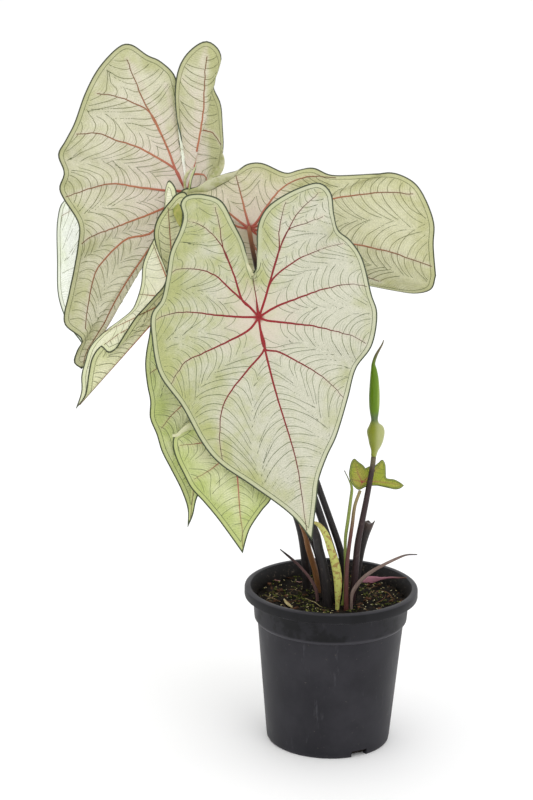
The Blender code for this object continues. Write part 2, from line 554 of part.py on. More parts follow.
def build():
    clear_scene()
    col, tools = collection("potted_caladium"), collection("cutters", hidden=True)
    hubs = {}
    for name, leaf, around in (("front_blade", FRONT, AROUND), ("left_blade", LEFT, AROUND + 8),
                               ("right_blade", RIGHT, AROUND), ("folded_blade", FOLDED, AROUND + 12),
                               ("low_left_blade", LOW_LEFT, AROUND - 4),
                               ("low_mid_blade", LOW_MID, AROUND - 4)):
        hubs[name] = blade(name, leaf, col, around)[1:]
    blade("small_blade", SMALL, col, around=26, rings=3, ribs=False)
    holes = []
    for name, stem in STEMS.items():
        ends = []
        if stem["leaf"]:
            hub, normal, under = hubs[stem["leaf"]]
            end = hub - normal * (under + 1.4 * GAP)
            ends = [end - normal * stem["neck"], end]
        points, radii = stem_points(stem, ends)
        tube(name, points, radii, col)
        low = [p for p in points if p.z < SOIL_Z + 8]
        low = points[:len(low) + 1]
        holes.append(([points[0] - Vector((0, 0, 1))] + low, [r + HOLE_GAP for r in
                                                           [radii[0]] + radii[:len(low)]]))
    cutters = []
    for i, (points, radii) in enumerate(holes):
        stations = [(p, r, r) for p, r in zip(points, radii)]
        cutters.append(rings_solid(f"stem_hole_{i}", path_rings(stations, 12), tools))
    for name, sheath in SHEATHS.items():
        stations = sheath_stations(sheath)
        rings_solid(name, path_rings(stations, SHEATH_SIDES), col)
        if sheath["foot"]:
            wide = [(p, w + HOLE_GAP, t + HOLE_GAP) for p, w, t in stations[:3]]
            first = wide[0]
            wide[0] = (first[0] - (wide[1][0] - first[0]).normalized() * GAP, first[1], first[2])
            cutters.append(rings_solid("hole_" + name, path_rings(wide, SHEATH_SIDES), tools))
    spathe(col)
    stub(col)
    run = [Vector((*STUB_FOOT, TUBER_TOP_Z - 1)), Vector((*STUB_FOOT, 88)), look(*STUB[0][:3])]
    stations = [(p, r, r) for p, r in zip(run, (2.7, 2.7, 3.1))]
    cutters.append(rings_solid("stub_hole", path_rings(stations, 12), tools))
    lathe("tuber", tuber_profile(0.0), 24, col, (0, TUBER_Y))
    cutters.append(lathe("tuber_hollow", tuber_profile(GAP), 24, tools, (0, TUBER_Y)))
    pot(col, tools)
    soil(col, cutters)
    for ob in tools.objects:
        ob.display_type = "WIRE"
        ob.hide_render = True


build()
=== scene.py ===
"""Looks of the potted caladium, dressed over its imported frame.

Sizes in the tables are millimetres; meshes are made in metres. Leaves are read off in a plane that
leans back ten degrees through each hub, and stems in one upright plane; both are slid along the
line of sight to their real depth, as in the part's own source.
"""

import logging
import math
import random
from dataclasses import dataclass, field
from enum import Enum

import bmesh
import bpy
import numpy as np
from mathutils import Matrix, Vector, noise

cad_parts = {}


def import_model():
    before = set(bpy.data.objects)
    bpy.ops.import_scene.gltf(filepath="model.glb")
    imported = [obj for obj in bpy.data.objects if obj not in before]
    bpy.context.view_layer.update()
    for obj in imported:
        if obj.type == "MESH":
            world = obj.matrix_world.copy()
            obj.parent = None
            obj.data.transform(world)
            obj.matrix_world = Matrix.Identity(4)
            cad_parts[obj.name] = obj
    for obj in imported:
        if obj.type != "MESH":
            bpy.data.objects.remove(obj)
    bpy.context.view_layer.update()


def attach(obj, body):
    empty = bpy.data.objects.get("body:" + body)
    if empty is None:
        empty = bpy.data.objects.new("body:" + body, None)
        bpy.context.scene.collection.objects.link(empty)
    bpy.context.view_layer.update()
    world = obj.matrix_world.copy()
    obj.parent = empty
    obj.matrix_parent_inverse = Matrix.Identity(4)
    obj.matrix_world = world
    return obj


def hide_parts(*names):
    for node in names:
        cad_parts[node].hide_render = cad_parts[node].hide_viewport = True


LOG = logging.getLogger("caladium")
MM = 0.001
EYE = np.array((-46.8, -1320.5, 575.3))
FACE_TILT = math.radians(10.0)
FACE = np.array((0.0, -math.cos(FACE_TILT), math.sin(FACE_TILT)))
UP = np.array((0.0, math.sin(FACE_TILT), math.cos(FACE_TILT)))
RIGHT = np.array((1.0, 0.0, 0.0))
STEM_PLANE_Y = -5.0
TUBER_TOP_Z = 84.0
SOIL_Z = 100.0
BLADE_HALF = 0.36
FOOT_GAP = 0.3
TOP_GAP = 0.25
COLOUR_A, COLOUR_B, COLOUR_OUT = 6, 7, 2
VIEWER = np.array((0.0, -1.0, 0.1))
UPWARD = np.array((0.0, 0.0, 1.0))
MERGE = 2e-6
FAR = 99.0
BATCH = 3000

Colour = tuple[float, float, float]
Reading = tuple[float, float]
Point3 = tuple[float, float, float]
Socket = bpy.types.NodeSocket
Value = Socket | float | Colour


class Side(Enum):
    """Which way a vein's reading may fall on a folded blade."""

    ANY = (0.0, 1.0)
    SECOND = (0.5, 1.0)
    LOBE = (0.0, 0.22)


class Grain(Enum):
    """Forms of the loose scraps that lie on the potting mix."""

    CRUMB = "crumb"
    CHIP = "chip"
    HUSK = "husk"


def catmull(points: np.ndarray, per: int = 10) -> np.ndarray:
    """Smooth curve through points.

    Args:
        points: One row a point.
        per: Samples between neighbouring points.

    Returns:
        The dense curve, ends included.
    """
    p = np.asarray(points, float)
    p = np.vstack([2 * p[0] - p[1], p, 2 * p[-1] - p[-2]])
    t = np.linspace(0, 1, per + 1)[:-1, None]
    out = []
    for i in range(1, len(p) - 2):
        a, b, c, d = p[i - 1:i + 3]
        out.append(0.5 * (2 * b + (c - a) * t + (2 * a - 5 * b + 4 * c - d) * t ** 2
                          + (3 * b - a - 3 * c + d) * t ** 3))
    return np.vstack([*out, p[-2][None]])


def run_length(points: np.ndarray) -> np.ndarray:
    """Length of a polyline up to each of its points."""
    return np.concatenate([[0], np.cumsum(np.linalg.norm(np.diff(points, axis=0), axis=1))])


def spaced(points: np.ndarray, count: int) -> np.ndarray:
    """Evenly spaced samples of a polyline.

    Args:
        points: One row a point.
        count: Stretches between the samples.

    Returns:
        The count + 1 samples, ends included.
    """
    run = run_length(points)
    want = np.linspace(0, run[-1], count + 1)
    return np.stack([np.interp(want, run, points[:, k]) for k in range(points.shape[1])], 1)


def seen(hub: np.ndarray, reading: Point3) -> np.ndarray:
    """World place of a leaf reading.

    Args:
        hub: The blade's hub.
        reading: Right and up in the hub's leaning plane, and how far toward the viewer.

    Returns:
        The place, in millimetres.
    """
    right, up, toward = reading
    flat = hub + RIGHT * right + UP * up
    sight = EYE - flat
    return flat + sight * (toward / (sight @ FACE))


def look(reading: Point3) -> np.ndarray:
    """World place of a stem reading.

    Args:
        reading: x and z in the stems' upright plane, and the depth y to slide to.

    Returns:
        The place, in millimetres.
    """
    x, z, y = reading
    flat = np.array((x, STEM_PLANE_Y, z))
    return EYE + (flat - EYE) * ((y - EYE[1]) / (STEM_PLANE_Y - EYE[1]))


def unit(v: np.ndarray) -> np.ndarray:
    """Rows scaled to length one."""
    return v / np.maximum(np.linalg.norm(v, axis=-1, keepdims=True), 1e-9)


def smooth(x: np.ndarray, low: float, high: float) -> np.ndarray:
    """Smooth step from 0 at low to 1 at high."""
    t = np.clip((x - low) / (high - low), 0, 1)
    return t * t * (3 - 2 * t)


# Shaders


class Shade:
    """Short hand for one material's nodes."""

    def __init__(self, name: str) -> None:
        """Start a material with a Principled shader.

        Args:
            name: The material's name.
        """
        self.material = bpy.data.materials.new(name)
        self.material.use_nodes = True
        self.tree = self.material.node_tree
        self.shader = self.tree.nodes["Principled BSDF"]

    def node(self, kind: str, fed: dict[str | int, Value], **traits: object) -> bpy.types.Node:
        """Add a node.

        Args:
            kind: The node's type.
            fed: What each of its inputs gets.
            traits: Its properties.

        Returns:
            The new node.
        """
        made = self.tree.nodes.new(kind)
        for key, trait in traits.items():
            setattr(made, key, trait)
        for key, source in fed.items():
            self.feed(source, made.inputs[key])
        return made

    def feed(self, source: Value, socket: Socket) -> None:
        """Link a socket, or set it where the source is a plain value.

        Args:
            source: Socket or value to take.
            socket: Input that gets it.
        """
        if isinstance(source, bpy.types.NodeSocket):
            self.tree.links.new(source, socket)
        elif isinstance(source, tuple) and len(source) == 3 and socket.type == "RGBA":
            socket.default_value = (*source, 1.0)
        else:
            socket.default_value = source

    def attribute(self, name: str) -> Socket:
        """Value of a float attribute."""
        return self.node("ShaderNodeAttribute", {}, attribute_name=name).outputs["Fac"]

    def flat(self) -> Socket:
        """The piece's own flat coordinates."""
        return self.node("ShaderNodeUVMap", {}, uv_map="flat").outputs["UV"]

    def place(self) -> Socket:
        """Object coordinates."""
        return self.node("ShaderNodeTexCoord", {}).outputs["Object"]

    def stretch(self, vector: Value, scale: Point3, turn: float = 0.0) -> Socket:
        """Coordinates scaled, and turned about Z."""
        return self.node("ShaderNodeMapping", {"Vector": vector, "Scale": scale,
                                               "Rotation": (0, 0, turn)}).outputs["Vector"]

    def noise(self, vector: Value, scale: float, detail: float = 2.0, rough: float = 0.5,
              colour: bool = False) -> Socket:
        """Noise texture.

        Args:
            vector: Coordinates.
            scale: Waves a unit of them.
            detail: Octaves.
            rough: Weight of each finer octave.
            colour: Whether three values are wanted in place of one.

        Returns:
            The noise.
        """
        made = self.node("ShaderNodeTexNoise", {"Vector": vector, "Scale": scale,
                                                "Detail": detail, "Roughness": rough})
        return made.outputs["Color" if colour else "Fac"]

    def cells(self, vector: Value, scale: float, scatter: float) -> Socket:
        """Distance to the border of Voronoi cells."""
        return self.node("ShaderNodeTexVoronoi",
                         {"Vector": vector, "Scale": scale, "Randomness": scatter},
                         feature="DISTANCE_TO_EDGE").outputs["Distance"]

    def math(self, operation: str, a: Value, b: Value = 0.0) -> Socket:
        """Math node on two values."""
        return self.node("ShaderNodeMath", {0: a, 1: b}, operation=operation).outputs[0]

    def times(self, first: Value, *others: Value) -> Value:
        """Product of values."""
        for other in others:
            first = self.math("MULTIPLY", first, other)
        return first

    def plus(self, first: Value, *others: Value) -> Value:
        """Sum of values."""
        for other in others:
            first = self.math("ADD", first, other)
        return first

    def band(self, value: Value, low: float, high: float, out_low: float = 0.0,
             out_high: float = 1.0) -> Socket:
        """Value mapped smoothly and clamped.

        Args:
            value: Value to map.
            low: Where it gives out_low.
            high: Where it gives out_high. It may be the lower of the two.
            out_low: Result at low.
            out_high: Result at high.

        Returns:
            The mapped value.
        """
        fed = {"Value": value, "From Min": low, "From Max": high, "To Min": out_low,
               "To Max": out_high}
        made = self.node("ShaderNodeMapRange", fed, interpolation_type="SMOOTHSTEP")
        return made.outputs["Result"]

    def part(self, vector: Value, axis: int) -> Socket:
        """One component of a vector."""
        return self.node("ShaderNodeSeparateXYZ", {0: vector}).outputs[axis]

    def ripple(self, value: Value, period: float, push: Value = 0.0) -> Socket:
        """Sine wave of a value, shifted by a push."""
        return self.math("SINE", self.plus(self.times(value, 2 * math.pi / period), push))

    def warp(self, vector: Value, scale: float, amount: float) -> Socket:
        """Coordinates shifted by noise."""
        fed = {0: self.noise(vector, scale, 2.0, colour=True), 1: (amount,) * 3, 2: vector}
        return self.node("ShaderNodeVectorMath", fed, operation="MULTIPLY_ADD").outputs["Vector"]

    def mix(self, share: Value, a: Value, b: Value) -> Socket:
        """Two colours mixed.

        Args:
            share: How much of the second there is.
            a: First colour.
            b: Second colour.

        Returns:
            The mixed colour.
        """
        made = self.node("ShaderNodeMix", {"Factor": share, COLOUR_A: a, COLOUR_B: b},
                         data_type="RGBA", blend_type="MIX", clamp_factor=True)
        return made.outputs[COLOUR_OUT]

    def bump(self, height: Value, distance: float, strength: float) -> Socket:
        """Bump from a height.

        Args:
            height: The height.
            distance: Its full rise, in metres.
            strength: How much of it counts.

        Returns:
            The bumped normal.
        """
        return self.node("ShaderNodeBump", {"Strength": strength, "Distance": distance,
                                            "Height": height}).outputs["Normal"]

    def finish(self, colour: Value, roughness: Value, normal: Socket | None = None,
               specular: float = 0.5) -> bpy.types.Material:
        """Wire the shader.

        Args:
            colour: Base colour socket or value.
            roughness: Roughness socket or value.
            normal: Normal socket, if any.
            specular: Specular level.

        Returns:
            The finished material.
        """
        self.feed(colour, self.shader.inputs["Base Color"])
        self.feed(roughness, self.shader.inputs["Roughness"])
        if normal is not None:
            self.feed(normal, self.shader.inputs["Normal"])
        self.shader.inputs["Specular IOR Level"].default_value = specular
        return self.material


@dataclass(frozen=True)
class LeafFinish:
    """One face of a leaf: ground, green mottling, blush at the hub, stripes, net and rim."""

    name: str
    pale: Colour
    green: Colour
    blush: Colour
    net: Colour
    rim: Colour
    band: Colour
    star: Colour
    blush_reach: float = 34.0
    blush_strength: float = 0.5
    green_bias: float = 0.0
    net_strength: float = 0.3
    roughness: float = 0.5
    side: tuple[float, float] = (0.0, 0.0)
    bare_side: float = 0.0
    star_reach: float = 4.6
    line: float = 1.25
    stripe_step: float = 1.7

    def material(self) -> bpy.types.Material:
        """Material on the blade's flat map and its rim, hub, rib and arc distances."""
        s = Shade(self.name)
        flat, (rim, hub, rib, arc) = s.flat(), map(s.attribute, ("rim", "hub", "rib", "arc"))
        clouds = s.noise(flat, 6.0, 3.0, 0.6)
        aside = s.band(s.part(s.place(), 0), *self.side) if any(self.side) else 0.5
        ground = s.mix(self._greening(s, clouds, rim, aside), self.pale, self.green)
        freckle = s.band(s.noise(flat, 70.0, 3.0, 0.7), 0.4, 0.75)
        ground = s.mix(s.times(freckle, 0.13), ground, self.net)
        ground = s.mix(self._blushing(s, clouds, hub, aside), ground, self.blush)
        ground = s.mix(s.band(rib, 0.3, 3.0, 0.28, 0.0), ground, self.blush)
        push = s.times(s.noise(flat, 11.0, 2.0), 16.0)
        wave = s.ripple(arc, self.stripe_step, push)
        fade = s.times(s.band(hub, 8.0, 34.0), s.band(s.noise(flat, 16.0, 2.0), 0.35, 0.6))
        ground = s.mix(s.times(s.band(wave, 0.45, 0.98), fade, self.net_strength), ground, self.net)
        fine = s.band(s.cells(s.warp(flat, 9.0, 0.05), 62.0, 0.9), 0.02, 0.15, 1.0, 0.0)
        fine = s.times(fine, self.net_strength * 0.4, s.band(hub, 4.0, 30.0, 0.3, 1.0))
        colour = self._margin(s, rim, s.mix(fine, ground, self.net))
        colour = s.mix(s.band(hub, 0.35 * self.star_reach, self.star_reach, 0.9, 0.0),
                       colour, self.star)
        relief = s.plus(s.times(clouds, 0.3), s.times(wave, -0.16))
        rough = s.band(clouds, 0.2, 0.8, self.roughness - 0.06, self.roughness + 0.08)
        return s.finish(colour, rough, s.bump(relief, 0.0006, 0.5), specular=0.3)

    def _greening(self, s: Shade, clouds: Socket, rim: Socket, aside: Value) -> Socket:
        """How green the ground is: in patches, near the margin and on one side.

        Args:
            s: The material's nodes.
            clouds: Patchy noise.
            rim: Distance from the margin.
            aside: 0 on the greener side of the leaf, 1 on the other.

        Returns:
            The share of green.
        """
        near_rim = s.band(rim, 0.0, 24.0, 0.13 + self.green_bias, -0.05 + self.green_bias)
        return s.band(s.plus(s.times(clouds, 0.65), s.times(aside, -0.23), near_rim), 0.07, 0.49)

    def _blushing(self, s: Shade, clouds: Socket, hub: Socket, aside: Value) -> Socket:
        """How much blush there is, ragged at its border.

        Args:
            s: The material's nodes.
            clouds: Patchy noise.
            hub: Distance from the hub.
            aside: 0 on the greener side of the leaf, 1 on the other.

        Returns:
            The share of blush.
        """
        ragged = s.plus(hub, s.band(clouds, 0.3, 0.7, -9, 9))
        blush = s.times(s.band(ragged, 3.0, self.blush_reach, 1.0, 0.0), self.blush_strength)
        if self.bare_side:
            blush = s.times(blush, s.band(aside, 0.0, 1.0, 1.0 - self.bare_side, 1.0))
        return blush

    def _margin(self, s: Shade, rim: Socket, ground: Socket) -> Socket:
        """Pale band and dark line along the margin.

        Args:
            s: The material's nodes.
            rim: Distance from the margin.
            ground: Colour inside of them.

        Returns:
            The colour with both.
        """
        banded = s.mix(s.band(rim, 1.6 * self.line, 3.6 * self.line, 0.6, 0.0), ground, self.band)
        return s.mix(s.band(rim, 0.5 * self.line, self.line, 0.96, 0.0), banded, self.rim)


@dataclass(frozen=True)
class FlapFinish:
    """Underside that shows on a rolled margin, with the margin's dark line."""

    name: str
    pale: Colour
    green: Colour
    edge: Colour = (0.045, 0.06, 0.02)
    line: float = 0.05

    def material(self) -> bpy.types.Material:
        """Material on object coordinates and the roll's wrap map."""
        s = Shade(self.name)
        flat, place = s.flat(), s.place()
        clouds = s.noise(place, 150.0, 3.0, 0.6)
        fibres = s.noise(s.stretch(flat, (5.0, 1.2, 1.0)), 3.0, 3.0, 0.6)
        around = s.part(flat, 0)
        near = s.math("MINIMUM", around, s.math("SUBTRACT", 1.0, around))
        colour = s.mix(s.band(clouds, 0.42, 0.68), self.pale, self.green)
        colour = s.mix(s.band(fibres, 0.5, 0.7, 0.0, 0.35), colour, self.green)
        colour = s.mix(s.band(near, self.line, self.line * 1.9, 0.85, 0.0), colour, self.edge)
        return s.finish(colour, 0.5, s.bump(fibres, 0.0003, 0.4), specular=0.3)


@dataclass(frozen=True)
class VeinFinish:
    """Rib colour running from the hub outwards."""

    name: str
    hub: Colour
    middle: Colour
    end: Colour
    roughness: float = 0.45

    def material(self) -> bpy.types.Material:
        """Material on the distance along the rib."""
        s = Shade(self.name)
        along = s.attribute("along")
        flecks = s.noise(s.place(), 900.0, 2.0)
        colour = s.mix(s.band(along, 0.02, 0.42), self.hub, self.middle)
        colour = s.mix(s.band(along, 0.4, 0.95), colour, self.end)
        colour = s.mix(s.band(flecks, 0.5, 0.8, 0.0, 0.3), colour, self.end)
        return s.finish(colour, self.roughness, s.bump(flecks, 0.0001, 0.5), specular=0.4)


@dataclass(frozen=True)
class StalkFinish:
    """Smooth stalk with lengthwise streaks."""

    name: str
    ground: Colour
    streak: Colour
    top: Colour
    top_from: float = 0.8
    streaks: float = 0.5
    marks: float = 0.0
    mark: Colour = (0.2, 0.03, 0.02)
    roughness: float = 0.36

    def material(self) -> bpy.types.Material:
        """Material that reads the stalk's wrap map and its length."""
        s = Shade(self.name)
        along = s.attribute("along")
        fibres = s.noise(s.stretch(s.flat(), (9.0, 0.35, 1.0)), 5.0, 4.0, 0.65)
        dust = s.noise(s.place(), 420.0, 3.0, 0.6)
        colour = s.mix(s.times(s.band(fibres, 0.42, 0.72), self.streaks),
                       self.ground, self.streak)
        if self.marks:
            spots = s.noise(s.stretch(s.flat(), (1.6, 1.1, 1.0), 0.5), 3.2, 3.0, 0.6)
            colour = s.mix(s.times(s.band(spots, 0.5, 0.6), self.marks),
                           colour, self.mark)
        colour = s.mix(s.band(along, self.top_from, 1.0), colour, self.top)
        colour = s.mix(s.band(dust, 0.55, 0.8, 0.0, 0.18), colour, (0.32, 0.27, 0.22))
        normal = s.bump(fibres, 0.0004, 0.5)
        return s.finish(colour, s.band(dust, 0.3, 0.7, self.roughness, self.roughness + 0.15),
                        normal, specular=0.35)


@dataclass(frozen=True)
class BudFinish:
    """Closed flower bud: pale bulb with painted highlight on its right, green blade, browned tip.
    """

    name: str = "bud_green"
    bulb: Colour = (0.25, 0.285, 0.03)
    painted_highlight: Colour = (0.38, 0.40, 0.16)
    neck: Colour = (0.10, 0.15, 0.06)
    blade: Colour = (0.11, 0.21, 0.003)
    light: Colour = (0.27, 0.36, 0.07)
    tip: Colour = (0.14, 0.12, 0.06)

    def material(self) -> bpy.types.Material:
        """Material that reads how far up the bud a point lies."""
        s = Shade(self.name)
        along = s.attribute("along")
        fibres = s.noise(s.stretch(s.flat(), (7.0, 0.25, 1.0)), 5.0, 3.0, 0.6)
        speck = s.noise(s.place(), 700.0, 3.0, 0.7)
        x = s.part(s.place(), 0)
        # Painted highlight: the right side of the bulb is lighter.
        right = s.band(x, 0.0255, 0.0295)
        colour = s.mix(right, self.bulb, self.painted_highlight)
        colour = s.mix(s.band(along, 0.26, 0.33), colour, self.neck)
        colour = s.mix(s.band(along, 0.33, 0.40), colour, self.blade)
        seam, upper = s.band(x, 0.0270, 0.0284), s.band(along, 0.36, 0.46)
        colour = s.mix(s.times(seam, upper, 0.7), colour, self.light)
        colour = s.mix(s.band(fibres, 0.5, 0.75, 0.0, 0.3), colour, self.light)
        colour = s.mix(s.band(speck, 0.55, 0.75, 0.0, 0.2), colour, self.neck)
        colour = s.mix(s.band(along, 0.74, 0.9), colour, self.tip)
        return s.finish(colour, 0.42, s.bump(fibres, 0.0003, 0.4), specular=0.3)


@dataclass(frozen=True)
class PotFinish:
    """Moulded charcoal plastic, scuffed and dusty; painted shade on collar, lip and grimy inner
    wall.
    """

    name: str = "pot_plastic"
    ground: Colour = (0.013, 0.0125, 0.0165)
    worn: Colour = (0.054, 0.052, 0.061)
    dust: Colour = (0.16, 0.13, 0.10)
    # Near black of the painted shade with grime on the inner wall above the mix.
    shade_and_grime: Colour = (0.006, 0.005, 0.004)
    # Near black of the painted shade on the collar and the lip.
    painted_shade: Colour = (0.002, 0.002, 0.003)
    lip_from: float = 0.1035
    collar_from: float = 0.0865

    def material(self) -> bpy.types.Material:
        """Material on the pot's object coordinates."""
        s = Shade(self.name)
        place, wear = s.place(), s.attribute("wear")
        z = s.part(place, 2)
        cloud = s.noise(place, 28.0, 4.0, 0.6)
        grain = s.noise(place, 950.0, 3.0, 0.6)
        scuff = s.noise(s.stretch(place, (1.0, 1.0, 0.18)), 190.0, 4.0, 0.72)
        colour = s.mix(s.band(cloud, 0.35, 0.75, 0.0, 0.3), self.ground, self.worn)
        colour = s.mix(s.band(scuff, 0.6, 0.74, 0.0, 0.5), colour, self.worn)
        specks = s.band(s.noise(place, 330.0, 4.0, 0.7), 0.66, 0.76, 0.0, 0.5)
        colour = s.mix(specks, colour, self.dust)
        colour = s.mix(s.times(s.band(wear, 0.1, 1.0), 0.6), colour, self.worn)
        # Painted shade: collar under the lip near black in patches of painted dark reflection, lip
        # band too; worn spots lift it.
        dark_reflection_patches = s.band(s.noise(place, 52.0, 4.0, 0.62), 0.44, 0.56, 0.3, 0.97)
        collar = s.band(z, self.collar_from, self.collar_from + 0.003)
        lip = s.band(z, self.lip_from, self.lip_from + 0.002, 0.0, 0.85)
        scraped = s.band(wear, 0.45, 0.9, 1.0, 0.25)
        dark = s.math("MAXIMUM", s.times(collar, dark_reflection_patches), lip)
        colour = s.mix(s.times(dark, scraped), colour, self.painted_shade)
        # Painted shade with grime: the inner wall above the mix, marked by negative values, goes
        # near black with dust splashes.
        splashes = s.band(s.noise(place, 420.0, 4.0, 0.7), 0.55, 0.7, 0.0, 0.6)
        soil = s.mix(splashes, self.shade_and_grime, self.dust)
        colour = s.mix(s.band(wear, -0.9, -0.1, 1.0, 0.0), colour, soil)
        height = s.plus(s.times(grain, 0.4), scuff)
        return s.finish(colour, s.band(cloud, 0.3, 0.7, 0.42, 0.56), s.bump(height, 0.0002, 0.35),
                        specular=0.2)


@dataclass(frozen=True)
class LooseFinish:
    """Rough earthy stuff in two mixed colours."""

    name: str
    dark: Colour
    light: Colour
    scale: float = 260.0
    depth: float = 0.0012
    roughness: float = 0.9

    def material(self) -> bpy.types.Material:
        """Material on object coordinates."""
        s = Shade(self.name)
        place = s.place()
        big, small = s.noise(place, self.scale, 4.0, 0.7), s.noise(place, self.scale * 5, 3.0, 0.7)
        colour = s.mix(s.band(big, 0.4, 0.66), self.dark, self.light)
        colour = s.mix(s.band(small, 0.3, 0.6, 0.5, 0.0), colour, self.dark)
        height = s.plus(big, s.times(small, 0.4))
        return s.finish(colour, self.roughness, s.bump(height, self.depth, 0.8), specular=0.12)


# Mesh helpers


def new_piece(name: str, bm: bmesh.types.BMesh, materials: list[bpy.types.Material], slot: str,
              nodes: tuple[str, ...] = ()) -> bpy.types.Object:
    """Turn a bmesh into a dressed piece.

    Args:
        name: The piece's name.
        bm: Its mesh, freed here.
        materials: Its materials, by index.
        slot: The record's material slot. Not used.
        nodes: CAD nodes that it stands for.

    Returns:
        The new object.
    """
    mesh = bpy.data.meshes.new(name)
    bm.to_mesh(mesh)
    bm.free()
    for material in materials:
        mesh.materials.append(material)
    piece = bpy.data.objects.new(name, mesh)
    bpy.context.scene.collection.objects.link(piece)
    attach(piece, "root")
    if nodes:
        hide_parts(*nodes)
    LOG.info("%s: %d faces", name, len(mesh.polygons))
    return piece


def float_layer(bm: bmesh.types.BMesh, name: str) -> bmesh.types.BMLayerItem:
    """A vertex float layer, made once."""
    layers = bm.verts.layers.float
    return layers.get(name) or layers.new(name)


def add_tube(bm: bmesh.types.BMesh, points: np.ndarray, across: np.ndarray, half_wide: np.ndarray,
             half_thick: np.ndarray, sides: int = 6, along: tuple[float, float] = (0.0, 1.0),
             material: int = 0) -> None:
    """Add a closed tube of elliptic section to a mesh, made from a bent grid.

    Args:
        bm: Mesh to add to; it keeps an "along" layer and a "flat" map.
        points: Middle line, in millimetres.
        across: Direction of the section's thickness, once or at each point.
        half_wide: Half width at each point.
        half_thick: Half thickness at each point.
        sides: Sides of the section.
        along: Values of the "along" layer at both ends.
        material: Material index.
    """
    tangent = unit(np.gradient(points, axis=0))
    wide = unit(np.cross(tangent, across))
    rows = (points, wide, unit(np.cross(wide, tangent)), run_length(points))
    points, wide, deep, run = (np.concatenate([row[:1], row, row[-1:]]) for row in rows)
    half_wide, half_thick = (np.concatenate([[0], row, [0]]) for row in (half_wide, half_thick))
    last = len(points) - 1
    layer, flat = float_layer(bm, "along"), bm.loops.layers.uv.verify()
    made = bmesh.ops.create_grid(bm, x_segments=last, y_segments=sides, size=1.0)["verts"]
    where = {}
    for v in made:
        i, k = round((v.co.x + 1) / 2 * last), round((v.co.y + 1) / 2 * sides)
        a = 2 * math.pi * k / sides
        p = points[i] + wide[i] * (half_wide[i] * math.cos(a))
        p = p + deep[i] * (half_thick[i] * math.sin(a))
        where[v] = (k / sides, run[i] / 10.0)
        v.co = Vector(p) * MM
        v[layer] = along[0] + (along[1] - along[0]) * run[i] / max(run[-1], 1e-9)
    for f in {f for v in made for f in v.link_faces}:
        f.smooth = True
        f.material_index = material
        for loop in f.loops:
            loop[flat].uv = where[loop.vert]


def tidy(bm: bmesh.types.BMesh) -> None:
    """Merge seams and poles and point the faces outwards."""
    bmesh.ops.remove_doubles(bm, verts=bm.verts, dist=MERGE)
    bmesh.ops.recalc_face_normals(bm, faces=bm.faces)


def tube_mesh() -> bmesh.types.BMesh:
    """Empty mesh that takes tubes."""
    bm = bmesh.new()
    bm.loops.layers.uv.new("flat")
    return bm


def tube_piece(name: str, points: np.ndarray, half: tuple[np.ndarray, np.ndarray], sides: int,
               finish: FlapFinish | StalkFinish | BudFinish, slot: str,
               nodes: tuple[str, ...] = (), across: np.ndarray = VIEWER) -> bpy.types.Object:
    """Make a piece of one tube.

    Args:
        name: The piece's name.
        points: Middle line, in millimetres.
        half: Half width and half thickness at each point.
        sides: Sides of the section.
        finish: Its finish.
        slot: The record's material slot.
        nodes: CAD nodes that it stands for.
        across: Direction of the section's thickness.

    Returns:
        The new object.
    """
    bm = tube_mesh()
    add_tube(bm, points, across, *half, sides)
    tidy(bm)
    return new_piece(name, bm, [finish.material()], slot, nodes)


# Leaves


@dataclass
class LeafTable:
    """Shape of one blade, margin counterclockwise seen from above the blade."""

    hub: Point3
    sinus: Point3
    first: list[Point3]
    tip: Point3
    second: list[Point3]
    flat: float = 1.5
    belly: float = 0.0
    ribs: list[tuple[Side, list[Reading]]] = field(default_factory=list)
    spokes: list[tuple[float, float]] = field(default_factory=list)
    mirrored: bool = False


